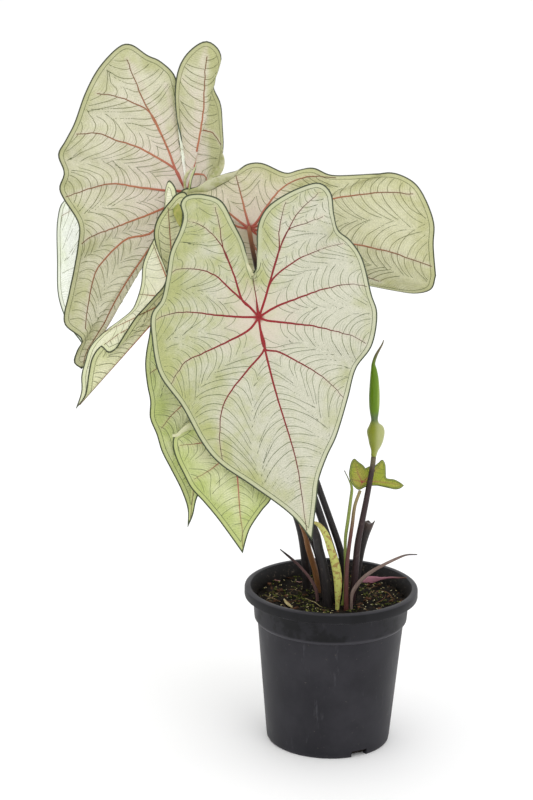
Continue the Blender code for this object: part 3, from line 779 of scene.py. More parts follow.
@dataclass
class Blade:
    """A leaf blade with its veins."""

    node: str
    table: LeafTable
    upper: LeafFinish
    under: LeafFinish
    rib_finish: VeinFinish
    twig_finish: VeinFinish
    slot: str
    around: int = 280
    rings: int = 80
    rib_wide: tuple[float, float] = (1.9, 0.95)
    twig_wide: float = 0.56
    twig_step: float = 5.8
    puff: float = 1.3
    rim_vein: float = 3.4
    quilt: float = 0.2
    rib_proud: float = 0.42
    twig_proud: float = 0.24
    bend: float = 0.42
    seed: int = 3

    def __post_init__(self) -> None:
        """Work out the margin, its arms and the flat development."""
        t = self.table
        self.hub = np.array(t.hub, float)
        runs = []
        for run in ([t.sinus, *t.first, t.tip], [t.tip, *t.second, t.sinus]):
            dense = catmull(np.array([seen(self.hub, q) for q in run]), 10)
            runs.append(spaced(dense, 360)[:-1])
        margin = np.vstack([*runs, runs[0][:1]])
        self.u = np.linspace(0, 1, len(margin))
        arms = margin - self.hub
        self.depth = arms @ FACE
        self.level = arms - self.depth[:, None] * FACE
        self.reach = np.linalg.norm(arms, axis=1)
        turn = np.arctan2(np.linalg.norm(np.cross(arms[:-1], arms[1:]), axis=1),
                          (arms[:-1] * arms[1:]).sum(1))
        self.theta = np.concatenate([[0], np.cumsum(turn + 1e-5)])
        sight = margin - EYE
        onto = EYE + sight * (((self.hub - EYE) @ FACE) / (sight @ FACE))[:, None] - self.hub
        self.read = np.stack([onto @ RIGHT, onto @ UP], 1)
        self.ribs = self._ribs()

    # Places on the blade

    def sheet(self, u: np.ndarray, rho: np.ndarray) -> np.ndarray:
        """Middle surface before it puffs between the ribs.

        Args:
            u: Margin fraction of each point, from the sinus round to the sinus.
            rho: Share of the way from hub to margin.

        Returns:
            The points, in millimetres.
        """
        level = np.stack([np.interp(u, self.u, self.level[:, k]) for k in range(3)], -1)
        depth = np.interp(u, self.u, self.depth)
        lift = depth * rho ** self.table.flat + self.table.belly * 4 * rho * (1 - rho)
        return self.hub + level * rho[..., None] + lift[..., None] * FACE

    def normals(self, u: np.ndarray, rho: np.ndarray) -> np.ndarray:
        """Upper-side normals of the middle surface.

        Args:
            u: Margin fraction of each point.
            rho: Share of the way from hub to margin.

        Returns:
            One unit vector a point.
        """
        du, dr = 0.002, 0.01
        low = np.clip(rho, 0.05, 1.0 - dr)
        a = self.sheet((u + du) % 1.0, low) - self.sheet((u - du) % 1.0, low)
        b = self.sheet(u, low + dr) - self.sheet(u, low - dr)
        return unit(np.cross(b, a))

    def develop(self, u: np.ndarray, rho: np.ndarray) -> np.ndarray:
        """Flat coordinates of surface points.

        Args:
            u: Margin fraction of each point.
            rho: Share of the way from hub to margin.

        Returns:
            One pair a point, in millimetres.
        """
        angle, r = np.interp(u, self.u, self.theta), rho * np.interp(u, self.u, self.reach)
        return np.stack([r * np.cos(angle), r * np.sin(angle)], -1)

    def undevelop(self, angle: np.ndarray, r: np.ndarray) -> tuple[np.ndarray, np.ndarray]:
        """Surface parameters of developed points.

        Args:
            angle: Developed angles.
            r: Developed radii.

        Returns:
            Margin fraction and share of the way from the hub.
        """
        u = np.interp(angle, self.theta, self.u)
        return u, r / np.interp(u, self.u, self.reach)

    def locate(self, side: Side, reading: np.ndarray) -> tuple[float, float]:
        """Developed angle and radius of a reading.

        Args:
            side: Stretch of the margin to search.
            reading: Right and up in the hub's leaning plane.

        Returns:
            Developed angle and radius.
        """
        low, high = side.value
        ok = (self.u >= low) & (self.u <= high)
        off = np.angle(np.exp(1j * (np.arctan2(self.read[:, 1], self.read[:, 0])
                                    - math.atan2(reading[1], reading[0]))))
        i = int(np.argmin(np.where(ok, np.abs(off), 9.0)))
        rho = min(np.hypot(*reading) / np.hypot(*self.read[i]), 0.985)
        return self.theta[i], rho * self.reach[i]

    def _ribs(self) -> list[np.ndarray]:
        """Main ribs from the hub outwards.

        Returns:
            Developed (angle, radius) lines, ordered by angle.
        """
        out = []
        for side, points in self.table.ribs:
            dense = spaced(catmull(np.array([(0.0, 0.0), *points]), 8), 26)
            line = np.array([self.locate(side, q) for q in dense[1:]])
            line[:, 1] = np.maximum.accumulate(line[:, 1]) + np.arange(len(line)) * 1e-4
            line = np.vstack([(line[0, 0], 0.0), line])
            out.append(line)
            if self.table.mirrored and side is Side.SECOND:
                u, rho = self.undevelop(line[:, 0], line[:, 1])
                flip = 1.0 - u
                out.append(np.stack([np.interp(flip, self.u, self.theta),
                                     rho * np.interp(flip, self.u, self.reach)], 1))
        for u_end, bend in self.table.spokes:
            s = np.linspace(0, 1, 26)
            angle = np.interp(u_end, self.u, self.theta) + bend * (1 - s) ** 1.5
            out.append(np.stack([angle, s * 0.97 * np.interp(u_end, self.u, self.reach)], 1))
        return sorted(out, key=lambda line: line[-1, 0])

    def rib_gap(self, flat: np.ndarray) -> np.ndarray:
        """Distance from the nearest main rib.

        Args:
            flat: Flat coordinates of the points.

        Returns:
            One distance a point.
        """
        best = np.full(flat.shape[0], FAR)
        for line in self.ribs:
            xy = np.stack([line[:, 1] * np.cos(line[:, 0]), line[:, 1] * np.sin(line[:, 0])], 1)
            a, b = xy[:-1], xy[1:]
            ab = b - a
            t = ((flat[:, None] - a) * ab).sum(-1) / np.maximum((ab * ab).sum(-1), 1e-9)
            near = a + ab * np.clip(t, 0, 1)[..., None]
            best = np.minimum(best, np.linalg.norm(flat[:, None] - near, axis=-1).min(1))
        return best

    def rim_gap(self, u: np.ndarray, rho: np.ndarray) -> np.ndarray:
        """Distance from the margin, on the flat development.

        Args:
            u: Margin fraction of each point.
            rho: Share of the way from hub to margin.

        Returns:
            One distance a point. The two sides of the slit don't count for each other.
        """
        at = self.u[::3]
        flat, edge = self.develop(u, rho), self.develop(at, np.ones(len(at)))
        a, ab, out = edge[:-1], np.diff(edge, axis=0), np.empty(len(u))
        for i in range(0, len(u), BATCH):
            part = flat[i:i + BATCH, None] - a
            t = (part * ab).sum(-1) / np.maximum((ab * ab).sum(-1), 1e-9)
            gap = np.linalg.norm(part - ab * np.clip(t, 0, 1)[..., None], axis=-1)
            gap[np.abs(u[i:i + BATCH, None] - at[:-1]) > 0.4] = FAR
            out[i:i + BATCH] = gap.min(1)
        return out

    def inset(self, distance: float, count: int = 320) -> tuple[np.ndarray, np.ndarray]:
        """Line that keeps a distance from the margin.

        Args:
            distance: The distance, in millimetres.
            count: Points of the line.

        Returns:
            Margin fraction and share of the way from the hub, at each point.
        """
        u, steps = np.linspace(0.004, 0.996, count), np.linspace(0.3, 0.998, 70)
        gaps = self.rim_gap(np.repeat(u, len(steps)), np.tile(steps, count))
        rho = np.empty(count)
        for i, row in enumerate(gaps.reshape(count, len(steps))):
            inside = np.nonzero(row >= distance)[0]
            k = min(int(inside[-1]), len(steps) - 2) if len(inside) else 0
            share = np.clip((row[k] - distance) / max(row[k] - row[k + 1], 1e-6), 0, 1)
            rho[i] = steps[k] + share * (steps[k + 1] - steps[k])
        return u, rho

    def nest(self, angle: np.ndarray, r: np.ndarray) -> tuple[np.ndarray, np.ndarray]:
        """Where developed points lie between the ribs.

        Args:
            angle: Developed angles.
            r: Developed radii.

        Returns:
            Angle of the field between the two ribs, and the way from a rib to its middle, 0 to 1.
        """
        rays = np.sort([np.interp(r, line[:, 1], line[:, 0]) for line in self.ribs], axis=0)
        rays = np.vstack([2 * self.theta[0] - rays[:1], rays, 2 * self.theta[-1] - rays[-1:]])
        k = np.clip((rays < angle).sum(0), 1, len(rays) - 1)[None]
        low = np.take_along_axis(rays, k - 1, 0)[0]
        wide = np.maximum(np.take_along_axis(rays, k, 0)[0] - low, 1e-4)
        share = np.clip((angle - low) / wide, 0, 1)
        return wide, 2 * np.minimum(share, 1 - share)

    def sag(self, angle: np.ndarray, r: np.ndarray) -> np.ndarray:
        """How far a side vein has bowed outwards.

        Args:
            angle: Developed angles.
            r: Developed radii.

        Returns:
            Radius where the vein left its rib, as a share of the radius now.
        """
        wide, way = self.nest(angle, r)
        return 1 - self.bend * np.minimum(wide, 1.1) * way ** 2.35

    def surface(self, u: np.ndarray, rho: np.ndarray) -> tuple[np.ndarray, ...]:
        """Puffed middle surface.

        Args:
            u: Margin fraction of each point.
            rho: Share of the way from hub to margin.

        Returns:
            Points, normals, rib distance, rim distance, flat coordinates and side-vein radius.
        """
        flat, r = self.develop(u, rho), rho * np.interp(u, self.u, self.reach)
        rib, rim = self.rib_gap(flat), self.rim_gap(u, rho)
        arc = r * self.sag(np.interp(u, self.u, self.theta), r)
        normal = self.normals(u, rho)
        swell = self.puff * smooth(rib, 0.0, 11.0) * smooth(rim, 0.0, 9.0)
        quilt = -self.quilt * np.cos(2 * math.pi * arc / self.twig_step) * smooth(rib, 0.5, 4.0)
        swell += quilt * smooth(rim, 2.0, 7.0) * smooth(r, 8.0, 20.0)
        return self.sheet(u, rho) + normal * swell[:, None], normal, rib, rim, flat, arc

    def depth_at(self, reading: np.ndarray) -> float:
        """How far toward the viewer the blade lies at a reading.

        Args:
            reading: Right and up in the hub's leaning plane.

        Returns:
            The distance from that plane.
        """
        angle, r = self.locate(Side.ANY, reading)
        u, rho = self.undevelop(np.array([angle]), np.array([r]))
        return float((self.surface(u, rho)[0][0] - self.hub) @ FACE)

    # Pieces

    def build(self) -> None:
        """Make the blade and its veins."""
        self._blade()
        self._veins()

    def _blade(self) -> None:
        """Closed lamina with its own finish on each face."""
        bm = bmesh.new()
        layers = [float_layer(bm, name) for name in ("rim", "hub", "rib", "arc")]
        lift, under = bm.verts.layers.float_vector.new("lift"), float_layer(bm, "under")
        uv = bm.loops.layers.uv.new("flat")
        made = bmesh.ops.create_grid(bm, x_segments=self.around, y_segments=self.rings,
                                     size=1.0)["verts"]
        grid = np.array([tuple(v.co) for v in made])
        u, rho = (grid[:, 0] + 1) / 2, ((grid[:, 1] + 1) / 2) ** 0.9
        points, normal, rib, rim, flat, arc = self.surface(u, rho)
        half = BLADE_HALF * (0.5 + 0.5 * smooth(rim, 0.0, 3.0))
        values = np.stack([rim, rho * np.interp(u, self.u, self.reach), rib, arc], 1)
        at = {}
        for i, v in enumerate(made):
            v.co = Vector(points[i]) * MM
            v[lift] = Vector(normal[i] * half[i]) * MM
            for layer, value in zip(layers, values[i]):
                v[layer] = value
            at[v] = flat[i] / 100.0
        for f in bm.faces:
            f.smooth = True
            for loop in f.loops:
                loop[uv].uv = at[loop.vert]
        bmesh.ops.remove_doubles(bm, verts=bm.verts, dist=MERGE)
        shell = bmesh.ops.extrude_face_region(bm, geom=bm.faces[:], use_keep_orig=True)["geom"]
        for g in shell:
            if isinstance(g, bmesh.types.BMVert):
                g[under] = 1.0
        for v in bm.verts:
            v.co += v[lift] * (1 if v[under] < 0.5 else -1)
        bmesh.ops.recalc_face_normals(bm, faces=bm.faces)
        for f in bm.faces:
            marks = [v[under] for v in f.verts]
            f.material_index = 1 if min(marks) > 0.5 else 0
            if min(marks) < 0.5 < max(marks):
                for e in f.edges:
                    a, b = (v[under] for v in e.verts)
                    e.smooth = abs(a - b) > 0.5
        bm.verts.layers.float_vector.remove(lift)
        new_piece(self.node.replace("_blade", "_lamina"), bm,
                  [self.upper.material(), self.under.material()], self.slot, (self.node,))

    def _tube(self, bm: bmesh.types.BMesh, angle: np.ndarray, r: np.ndarray, wide: np.ndarray,
              proud: float, sides: int, along: tuple[float, float], material: int) -> None:
        """Lay one vein on the blade along a developed line.

        Args:
            bm: Mesh of the veins.
            angle: Developed angle at each point.
            r: Developed radius at each point.
            wide: Width at each point.
            proud: How far it stands out of the lamina where it is widest.
            sides: Sides of its section.
            along: Values of the "along" layer at both ends.
            material: Material index.
        """
        u, rho = self.undevelop(angle, r)
        points, normal, *_ = self.surface(u, rho)
        thick = BLADE_HALF + proud * (0.45 + 0.55 * wide / wide.max())
        middle = points - normal * (proud * 0.25)
        add_tube(bm, middle, normal, wide / 2, thick, sides, along, material)

    def _twigs(self) -> list[tuple[np.ndarray, np.ndarray]]:
        """Side veins that leave the ribs and bow outwards.

        Returns:
            Developed angles and radii of each.
        """
        rng = random.Random(self.seed)
        first, last = (np.array([(t, 0.0), (t, 400.0)]) for t in (self.theta[0], self.theta[-1]))
        rays = [first, *self.ribs, last]
        way = np.linspace(0.02, 1.0, 12)
        out = []
        for a, b in zip(rays, rays[1:]):
            for own, other, turn in ((a, b, 1), (b, a, -1)):
                if own is first or own is last:
                    continue
                outer, r0 = other is first or other is last, self.twig_step * 1.6
                while r0 < own[-1, 1] - 3:
                    r0 += self.twig_step * rng.uniform(0.6, 1.4)
                    r, stray = np.full(len(way), r0), rng.uniform(-0.09, 0.05)
                    bend = self.bend * rng.uniform(0.8, 1.25)
                    for _ in range(5):
                        mine = np.interp(r, own[:, 1], own[:, 0])
                        wide = (np.interp(r, other[:, 1], other[:, 0]) - mine) * turn * (1 + outer)
                        r = r0 / (1 - bend * np.clip(wide, 0, 1.1) * way ** 2.1)
                    wave = 0.018 * np.sin(way * rng.uniform(5, 9) + rng.uniform(0, 6)) * way
                    angle = mine + turn * wide * way * (0.5 + stray + wave)
                    u, rho = self.undevelop(angle, r)
                    ok = (self.rim_gap(u, rho) > self.rim_vein) & (rho < 0.98)
                    stop = len(ok) if ok.all() else int(np.argmin(ok))
                    if wide[0] * r0 > 6.0 and stop > 3:
                        out.append((angle[:stop], r[:stop]))
        return out

    def _veins(self) -> None:
        """Ribs, side veins and the vein along the margin, half sunk in the lamina."""
        bm = tube_mesh()
        low, high = self.rib_wide
        for line in self.ribs:
            s = np.linspace(0, 1, len(line))
            wide = low * (1 - s) ** 1.3 + high * s ** 0.5 * (1 - 0.35 * s)
            r = line[:, 1] * 0.995 + 0.01
            self._tube(bm, line[:, 0], r, wide, self.rib_proud, 8, (0.0, 1.0), 0)
        for angle, r in self._twigs():
            wide = np.linspace(self.twig_wide, self.twig_wide * 0.6, len(r))
            self._tube(bm, angle, r, wide, self.twig_proud, 6, (0.2, 1.0), 1)
        points, normal, *_ = self.surface(*self.inset(self.rim_vein))
        half = np.full(len(points), self.twig_wide * 0.45)
        add_tube(bm, points, normal, half, np.full(len(points), BLADE_HALF + 0.2), 6, (0.4, 1.0), 1)
        tidy(bm)
        new_piece(self.node.replace("_blade", "_veins"), bm,
                  [self.rib_finish.material(), self.twig_finish.material()], self.slot)


@dataclass
class Flap:
    """Margin rolled over toward the viewer, between two curves read off over its blade."""

    name: str
    blade: Blade
    back: list[Reading]
    front: list[Reading]
    finish: FlapFinish
    slot: str
    bulge: float = 1.3
    lift: float = 0.5
    toward: float | None = None

    def _edge(self, line: list[Reading]) -> np.ndarray:
        """World curve of a line of readings.

        Args:
            line: Right and up of each reading.

        Returns:
            The curve, kept just in front of the blade or at the set depth.
        """
        read = spaced(catmull(np.array(line, float), 8), 44)
        if self.toward is None:
            way = np.linspace(0, 1, len(read))
            depth = [self.blade.depth_at(q) for q in read]
            depth = np.polyval(np.polyfit(way, depth, 2), way) + self.lift
        else:
            depth = np.full(len(read), self.toward)
        return np.array([seen(self.blade.hub, (*q, d)) for q, d in zip(read, depth)])

    def build(self) -> bpy.types.Object:
        """Make the roll.

        Returns:
            The new object.
        """
        back, front = self._edge(self.back), self._edge(self.front)
        middle, across = (back + front) / 2, front - back
        if (np.cross(np.gradient(middle, axis=0), FACE) * across).sum() < 0:
            middle, across = middle[::-1], across[::-1]
        half = np.maximum(np.linalg.norm(across, axis=1) / 2, 0.2)
        thick = np.minimum(half * 0.6 + 0.2, self.bulge)
        return tube_piece(self.name, middle, (half, thick), 20, self.finish, self.slot,
                          across=FACE)


# Tables of the leaves

FRONT = LeafTable(
    hub=(-52.5, -55.0, 311.0), flat=2.0, belly=2.0, sinus=(-5, 27, -3),
    first=[(-8.5, 35, -4), (-10, 46, -6), (-17, 60, -9), (-25, 74, -11), (-36, 78, -14),
           (-44, 78, -17), (-49, 76, -17), (-51.5, 71, -16), (-49.5, 64, -14),
           (-52, 54, -10), (-57.5, 41, -7), (-60, 24, -10), (-63, 10, -10),
           (-69, 1, -6), (-69, -12, -2), (-64, -37, 0), (-49, -58, 0), (-36, -81, -1),
           (-24, -95, -2), (-3, -109, -4), (22, -127, -8)],
    tip=(36.6, -144, -14),
    second=[(38, -130, -11), (39.3, -117, -8), (40.5, -104, -7), (45.5, -89, -5.5),
            (50.5, -78, -5.5), (54, -67, -7), (58.5, -50, -10),
            (63, -32, -13), (73, -17, -7), (76, 3, -6), (72, 16, -11), (66, 38, -14),
            (58, 50, -16), (50, 56.5, -19), (47, 67, -15), (45, 80, -16), (37, 86.5, -17),
            (24, 83, -15), (11, 76, -12), (3, 69, -10), (-1.5, 59, -8), (-2, 46, -6), (-1, 35, -4)],
    ribs=[(Side.ANY, line) for line in (
        [(-2, 12), (-4, 25)],
        [(-6, 6.5), (-11, 11), (-16, 26), (-23, 43), (-26, 57), (-29, 70)],
        [(-6, 6.5), (-11, 11), (-16, 26), (-23, 43), (-30, 52), (-38, 58), (-46, 61)],
        [(-6, 6.5), (-11, 11), (-20, 19), (-28, 26), (-38, 30), (-51, 30.5), (-56, 28)],
        [(-12, 0), (-28, 1), (-44, 2.6), (-60, 0.5), (-66, -3)],
        [(-6, -8), (-16, -14), (-30, -21), (-46, -29), (-52, -36.5), (-56, -44)],
        [(1, -8), (4, -20), (-6, -33), (-16, -46), (-22, -57), (-24, -67), (-24, -81), (-22, -93)],
        [(1, -8), (4, -20), (11, -46), (19.5, -72), (26, -94), (30, -118), (33, -138)],
        [(1, -8), (4, -20), (13, -22), (27, -29), (41, -37), (49, -44.5), (55, -51)],
        [(5, -2), (15, -3), (35, -5), (48, -8), (61, -11), (69, -16)],
        [(10, 6.5), (23, 12), (39, 18), (56, 22), (69, 21)],
        [(3.5, 11), (8, 24), (19.5, 34), (29, 40), (42, 45), (53, 48)],
        [(3.5, 11), (7.5, 26), (12, 42), (18, 56), (28, 60), (40, 65)],
        [(3.5, 11), (7.5, 26), (12, 42), (18, 56), (24, 67), (32, 75), (37, 80)],
        [(3.5, 11), (7.5, 26), (12, 42), (12, 54), (14, 66), (16, 74)])])
LEFT = LeafTable(
    hub=(-103.0, 40.0, 377.0), flat=1.6, sinus=(-4.7, 31.5, -2),
    first=[(-4.2, 37, -1.5), (-6, 44.5, -1.5), (-8.5, 56, -2), (-9, 72, -5), (-6, 86, -9),
           (1, 96, -12), (11, 102, -13), (19, 98, -14), (22, 90, -17), (18, 79, -21), (17, 71, -23),
           (22, 60, -24), (23.5, 45, -26), (24, 28, -29), (19, 11, -35), (2, -2, -44),
           (-28, -4, -50), (-60, -4, -46), (-82, -6, -40), (-88, -20, -36), (-88, -48, -29),
           (-87, -72, -23), (-80, -91, -15), (-70, -105, -8), (-67.5, -114, -4)],
    tip=(-70.5, -121.5, -1),
    second=[(-76, -117, 1), (-74, -109, 3), (-71, -101, 4), (-83, -90, 3), (-80, -70, 3),
            (-77, -55, 5), (-74, -36, 9), (-74, -22, 10), (-84, -6, 2), (-87, 2, -2), (-84, 12, 2),
            (-88, 24, -5), (-83, 34, -2), (-77, 46, -5), (-70, 66, -6), (-61, 83, -9),
            (-48, 97, -12), (-39, 99, -12), (-28, 92, -12), (-19, 88, -12), (-9, 78, -12),
            (-7, 62, -10), (-9.2, 48, -6), (-7.6, 39, -3.5)],
    ribs=[(Side.LOBE, [(1.4, 4), (6, 27), (10, 52), (10.7, 69), (12, 92)])]
    + [(Side.SECOND, line) for line in (
        [(-12, -19), (-36, -54), (-47.5, -73), (-58, -94), (-66, -107), (-70, -118)],
        [(-23, -27), (-42, -33), (-59, -50), (-64, -62), (-67, -78), (-69, -94)],
        [(-8, -6), (-18, -12), (-45, -23), (-65, -31), (-72, -36)],
        [(-8, 1), (-15, 1), (-33, 3), (-51, 5), (-65, 2), (-83, -5)],
        [(-4, 7), (-8, 15), (-22, 24), (-34, 30), (-50, 35), (-62, 39), (-76, 38)],
        [(-4, 7), (-8, 15), (-15, 33), (-26, 53.5), (-38, 60), (-49, 64), (-62, 66)],
        [(-4, 7), (-8, 15), (-15, 33), (-26, 53.5), (-35, 72), (-42, 89)])],
    mirrored=True)
RIGHT_LEAF = LeafTable(
    hub=(-59.7, 10.0, 357.7), flat=1.5, sinus=(-17, 2, -8),
    first=[(-27, 11, -9), (-38, 18, -6), (-46, 22, -3), (-45, 25.5, -3), (-39, 26.5, -4),
           (-33, 28.5, -5), (-26, 33, -7), (-16, 36.5, -10),
           (-9, 38.5, -12), (-2, 43, -13), (8, 43.5, -15), (23, 37.5, -14), (32, 39.5, -13),
           (42, 41, -11), (54, 36.5, -13), (72, 37, -11), (85, 38, -9), (96, 38.5, -13),
           (109, 32.5, -11), (117, 21.5, -9), (123, 5.5, -7), (123, -9.5, -7)],
    tip=(125, -29.5, -12),
    second=[(122, -38.5, -16), (111, -41.5, -22), (95, -39.5, -27), (77, -36.5, -32),
            (47, -33.5, -36), (17, -31.5, -36), (-9, -27.5, -32), (-23, -17.5, -26),
            (-26, -6.5, -18)],
    ribs=[(Side.ANY, line) for line in (
        [(-5, 0.5), (-9, 1.8), (-20, 8), (-32, 17)],
        [(-6.7, 4.3), (-14, 10), (-25, 18), (-33, 22)],
        [(-2.7, 9), (-6.3, 22), (-9.8, 35)],
        [(4.7, 4.5), (10.6, 14), (20, 26), (30, 32.5), (42, 35.5), (57, 34.5)],
        [(9, 3.5), (31, 12.5), (55, 20.5), (69.5, 23), (90, 25.5), (109, 24.5)],
        [(17, -3.5), (42, -6.5), (72, -9.5), (87, -12.5), (102, -16.5), (123, -23.5)],
        [(11, -7.5), (37, -17.5), (67, -26.5), (87, -33.5)],
        [(3, -11.5), (13, -21.5), (27, -28.5)])])
FOLDED = LeafTable(
    hub=(-109.0, 4.0, 312.0), flat=1.0, sinus=(0, 23, -8),
    first=[(0, 45, -9), (-2, 60, -11), (0, 70.5, -12), (-5, 77.5, -14), (-7.5, 71, -17),
           (-8, 61, -19), (-11, 47, -20), (-18, 32, -18), (-22, 21, -17), (-23, 8, -16),
           (-26, -3, -15), (-29.5, -10, -14), (-37, -16.5, -13), (-45, -22.5, -12),
           (-52, -29, -11), (-57.5, -36, -9), (-60, -44, -7), (-62.5, -54, -5), (-62.5, -65, -2)],
    tip=(-66, -76.5, 0),
    second=[(-60, -67, 2), (-58, -54, 4), (-55.5, -42, 6), (-50, -34.5, 6), (-45, -38.5, 7),
            (-40.5, -36.5, 7), (-34, -26, 8), (-27, -15, 8), (-20, -7, 9),
            (-13, 1, 10), (-8, 7, 10), (-6, 15, 11), (-9, 24, 12), (-13, 33, 13),
            (-15, 42, 14), (-13, 51, 14), (-8, 59, 12), (-4, 64, 9), (0, 68.5, 6),
            (6, 69.5, 3), (9, 60, 0), (6, 46, -3), (2, 36, -5)],
    spokes=[(0.1, 0.05), (0.22, 0.05), (0.3, 0.1), (0.38, 0.12), (0.5, 0.0), (0.6, -0.12),
            (0.68, -0.1), (0.76, -0.05), (0.86, -0.05)])
LOW_LEFT = LeafTable(
    hub=(-88.6, -36.0, 284.5), flat=1.5, sinus=(0, 20, -3),
    first=[(-4, 30, -5), (-12, 36, -7), (-21, 37, -8), (-29, 31, -8), (-34, 22, -7),
           (-35.5, 10, -6), (-37.5, -2, -6), (-38, -12, -5), (-36.5, -24, -5), (-34.5, -34, -5),
           (-34.5, -45, -6), (-30, -56, -6), (-26.5, -67, -6), (-20.5, -78.5, -6),
           (-13.5, -92, -6), (-9, -105, -7)],
    tip=(-8.8, -117, -8),
    second=[(-5.5, -109, -5), (-3, -98, -3), (4, -82, -4), (14, -64, -6), (26, -40, -8),
            (33, -14, -10), (34, 8, -11), (30, 26, -12), (19, 34, -10), (8, 31, -7)],
    ribs=[(Side.ANY, line) for line in (
        [(-5, 10), (-14, 28)],
        [(-10, 6), (-22, 14), (-31, 16)],
        [(-10, -2), (-24, -8), (-35, -16)],
        [(-3, -18), (-8, -30), (-14, -37), (-20, -43), (-27, -52)],
        [(-1, -20), (-4, -60), (-5, -90), (-7, -113)],
        [(4, -16), (12, -38), (18, -50)],
        [(10, -6), (22, -20), (28, -30)],
        [(10, 4), (22, 10), (30, 14)],
        [(5, 10), (12, 24)])])
LOW_MID = LeafTable(
    hub=(-66.8, -58.0, 240.0), flat=1.5, sinus=(-2, 14, -3),
    first=[(-8, 24, -5), (-18, 27, -8), (-26, 19, -9), (-28, 7, -7), (-31, -3, -6),
           (-39, -7, -5), (-40.5, -14, -4), (-38, -23, -3), (-33, -33, -3), (-28, -42, -3),
           (-20, -50.5, -4), (-11, -61, -4), (-2, -73, -4)],
    tip=(6, -84, -5),
    second=[(8, -76, -3), (11, -67, -3), (18, -56, -4), (24, -48, -5), (26, -36, -7),
            (26, -20, -9), (24, -4, -10), (18, 10, -10), (10, 18, -8), (3, 18, -5)],
    ribs=[(Side.ANY, line) for line in (
        [(-6, 10), (-14, 22)],
        [(-10, 2), (-24, 2)],
        [(-8, -8), (-22, -12), (-36, -14)],
        [(-2, -16), (-14, -28), (-26, -36)],
        [(0, -16), (2, -35), (3, -45), (4, -58), (6, -70), (6, -80)],
        [(1, -16), (10, -32), (20, -42)],
        [(8, -8), (18, -20), (24, -26)],
        [(8, 2), (18, 2)],
        [(5, 8), (9, 15)])])
SMALL = LeafTable(
    hub=(19.3, -3.0, 186.5), flat=1.5, sinus=(2, 9.5, -0.5),
    first=[(0.5, 11.5, -1), (-3, 14, -1.5), (-5.5, 16, -2), (-7.5, 14, -1.5), (-8.6, 9.5, 0),
           (-9, 4.5, 1), (-7.5, -0.5, 2), (-4, -4.5, 2.5), (-1.5, -5.3, 2.5), (2, -3.5, 2),
           (6, -2.5, 1.5), (11, -2.3, 1.5), (16, -2.9, 2), (22, -4.5, 2), (26, -4, 1.5)],
    tip=(28.5, -2, 1),
    second=[(26, 0, -1), (22, 2, -2), (18, 2.5, -2), (16.3, 3.5, -2), (16, 7.5, -2),
            (15.5, 12.5, -2.5), (13.5, 15.5, -3), (11, 13.5, -2.5), (8.5, 11.5, -1.5),
            (5.5, 11.1, -1)],
    ribs=[(Side.ANY, line) for line in (
        [(-3, 6), (-5, 13)], [(-4, 1), (-7.5, 1.5)], [(-1, -3), (-1.5, -4.6)],
        [(8, 0.4), (18, -0.6), (27, -2)], [(6, 5), (12, 12)])])


# Stalks


@dataclass
class Stalk:
    """Round stalk from the tuber up through its hole in the mix."""

    node: str
    foot: Reading
    soil: Reading
    radii: tuple[float, float]
    path: list[Point3]
    finish: StalkFinish
    slot: str
    blade: Blade | None = None
    neck: float = 8.0
    flare: float = 0.5
    sides: int = 18

    def build(self) -> bpy.types.Object:
        """Make the stalk.

        Returns:
            The new object.
        """
        z = TUBER_TOP_Z + FOOT_GAP
        run = [np.array((*self.foot, z)), np.array((*self.foot, z + 3)),
               np.array((*self.soil, SOIL_Z - 1)), *map(look, self.path)]
        if self.blade is not None:
            u = np.arange(24) / 24
            normal = unit(self.blade.normals(u, np.full(24, 0.06)).mean(0))
            end = self.blade.hub - normal * (BLADE_HALF + TOP_GAP)
            run += [end - normal * self.neck, end]
        points = spaced(catmull(np.array(run), 12), 90)
        s = np.linspace(0, 1, len(points))
        low, high = self.radii
        r = low + (high - low) * s ** 0.8
        if self.blade is not None:
            r = r + self.flare * high * smooth(s, 0.965, 1.0)
        return tube_piece(self.node.replace("petiole", "stalk") + "_skin", points, (r, r),
                          self.sides, self.finish, self.slot, (self.node,),
                          np.array((0.0, -1.0, 0.15)))


@dataclass
class Strap:
    """Flat sheath or scrap, lofted along stem readings with half widths and thicknesses."""

    node: str
    foot: tuple[float, float, float, float, float] | None
    path: list[tuple[float, float, float, float, float]]
    finish: StalkFinish
    slot: str

    def build(self) -> bpy.types.Object:
        """Make the strap.

        Returns:
            The new object.
        """
        rows = [np.array(self.foot)] if self.foot else []
        rows += [np.array((*look(p[:3]), *p[3:])) for p in self.path]
        dense = spaced(catmull(np.array(rows), 10), 48)
        wide, thick = np.maximum(dense[:, 3:5], 0.15).T
        return tube_piece(self.node + "_skin", dense[:, :3], (wide, thick), 16, self.finish,
                          self.slot, (self.node,))


@dataclass
class Bud:
    """Closed flower bud on its stalk."""

    rows: list[Point3]
    depth_y: float = -8.0

    def build(self) -> bpy.types.Object:
        """Make the bud.

        Returns:
            The new object.
        """
        points = np.array([[*look((x, z, self.depth_y)), r] for x, z, r in self.rows])
        dense = spaced(catmull(points, 10), 70)
        r = np.maximum(dense[:, 3], 0.2)
        return tube_piece("bud_skin", dense[:, :3], (r, r), 28, BudFinish(), "bud_green",
                          ("spathe",))


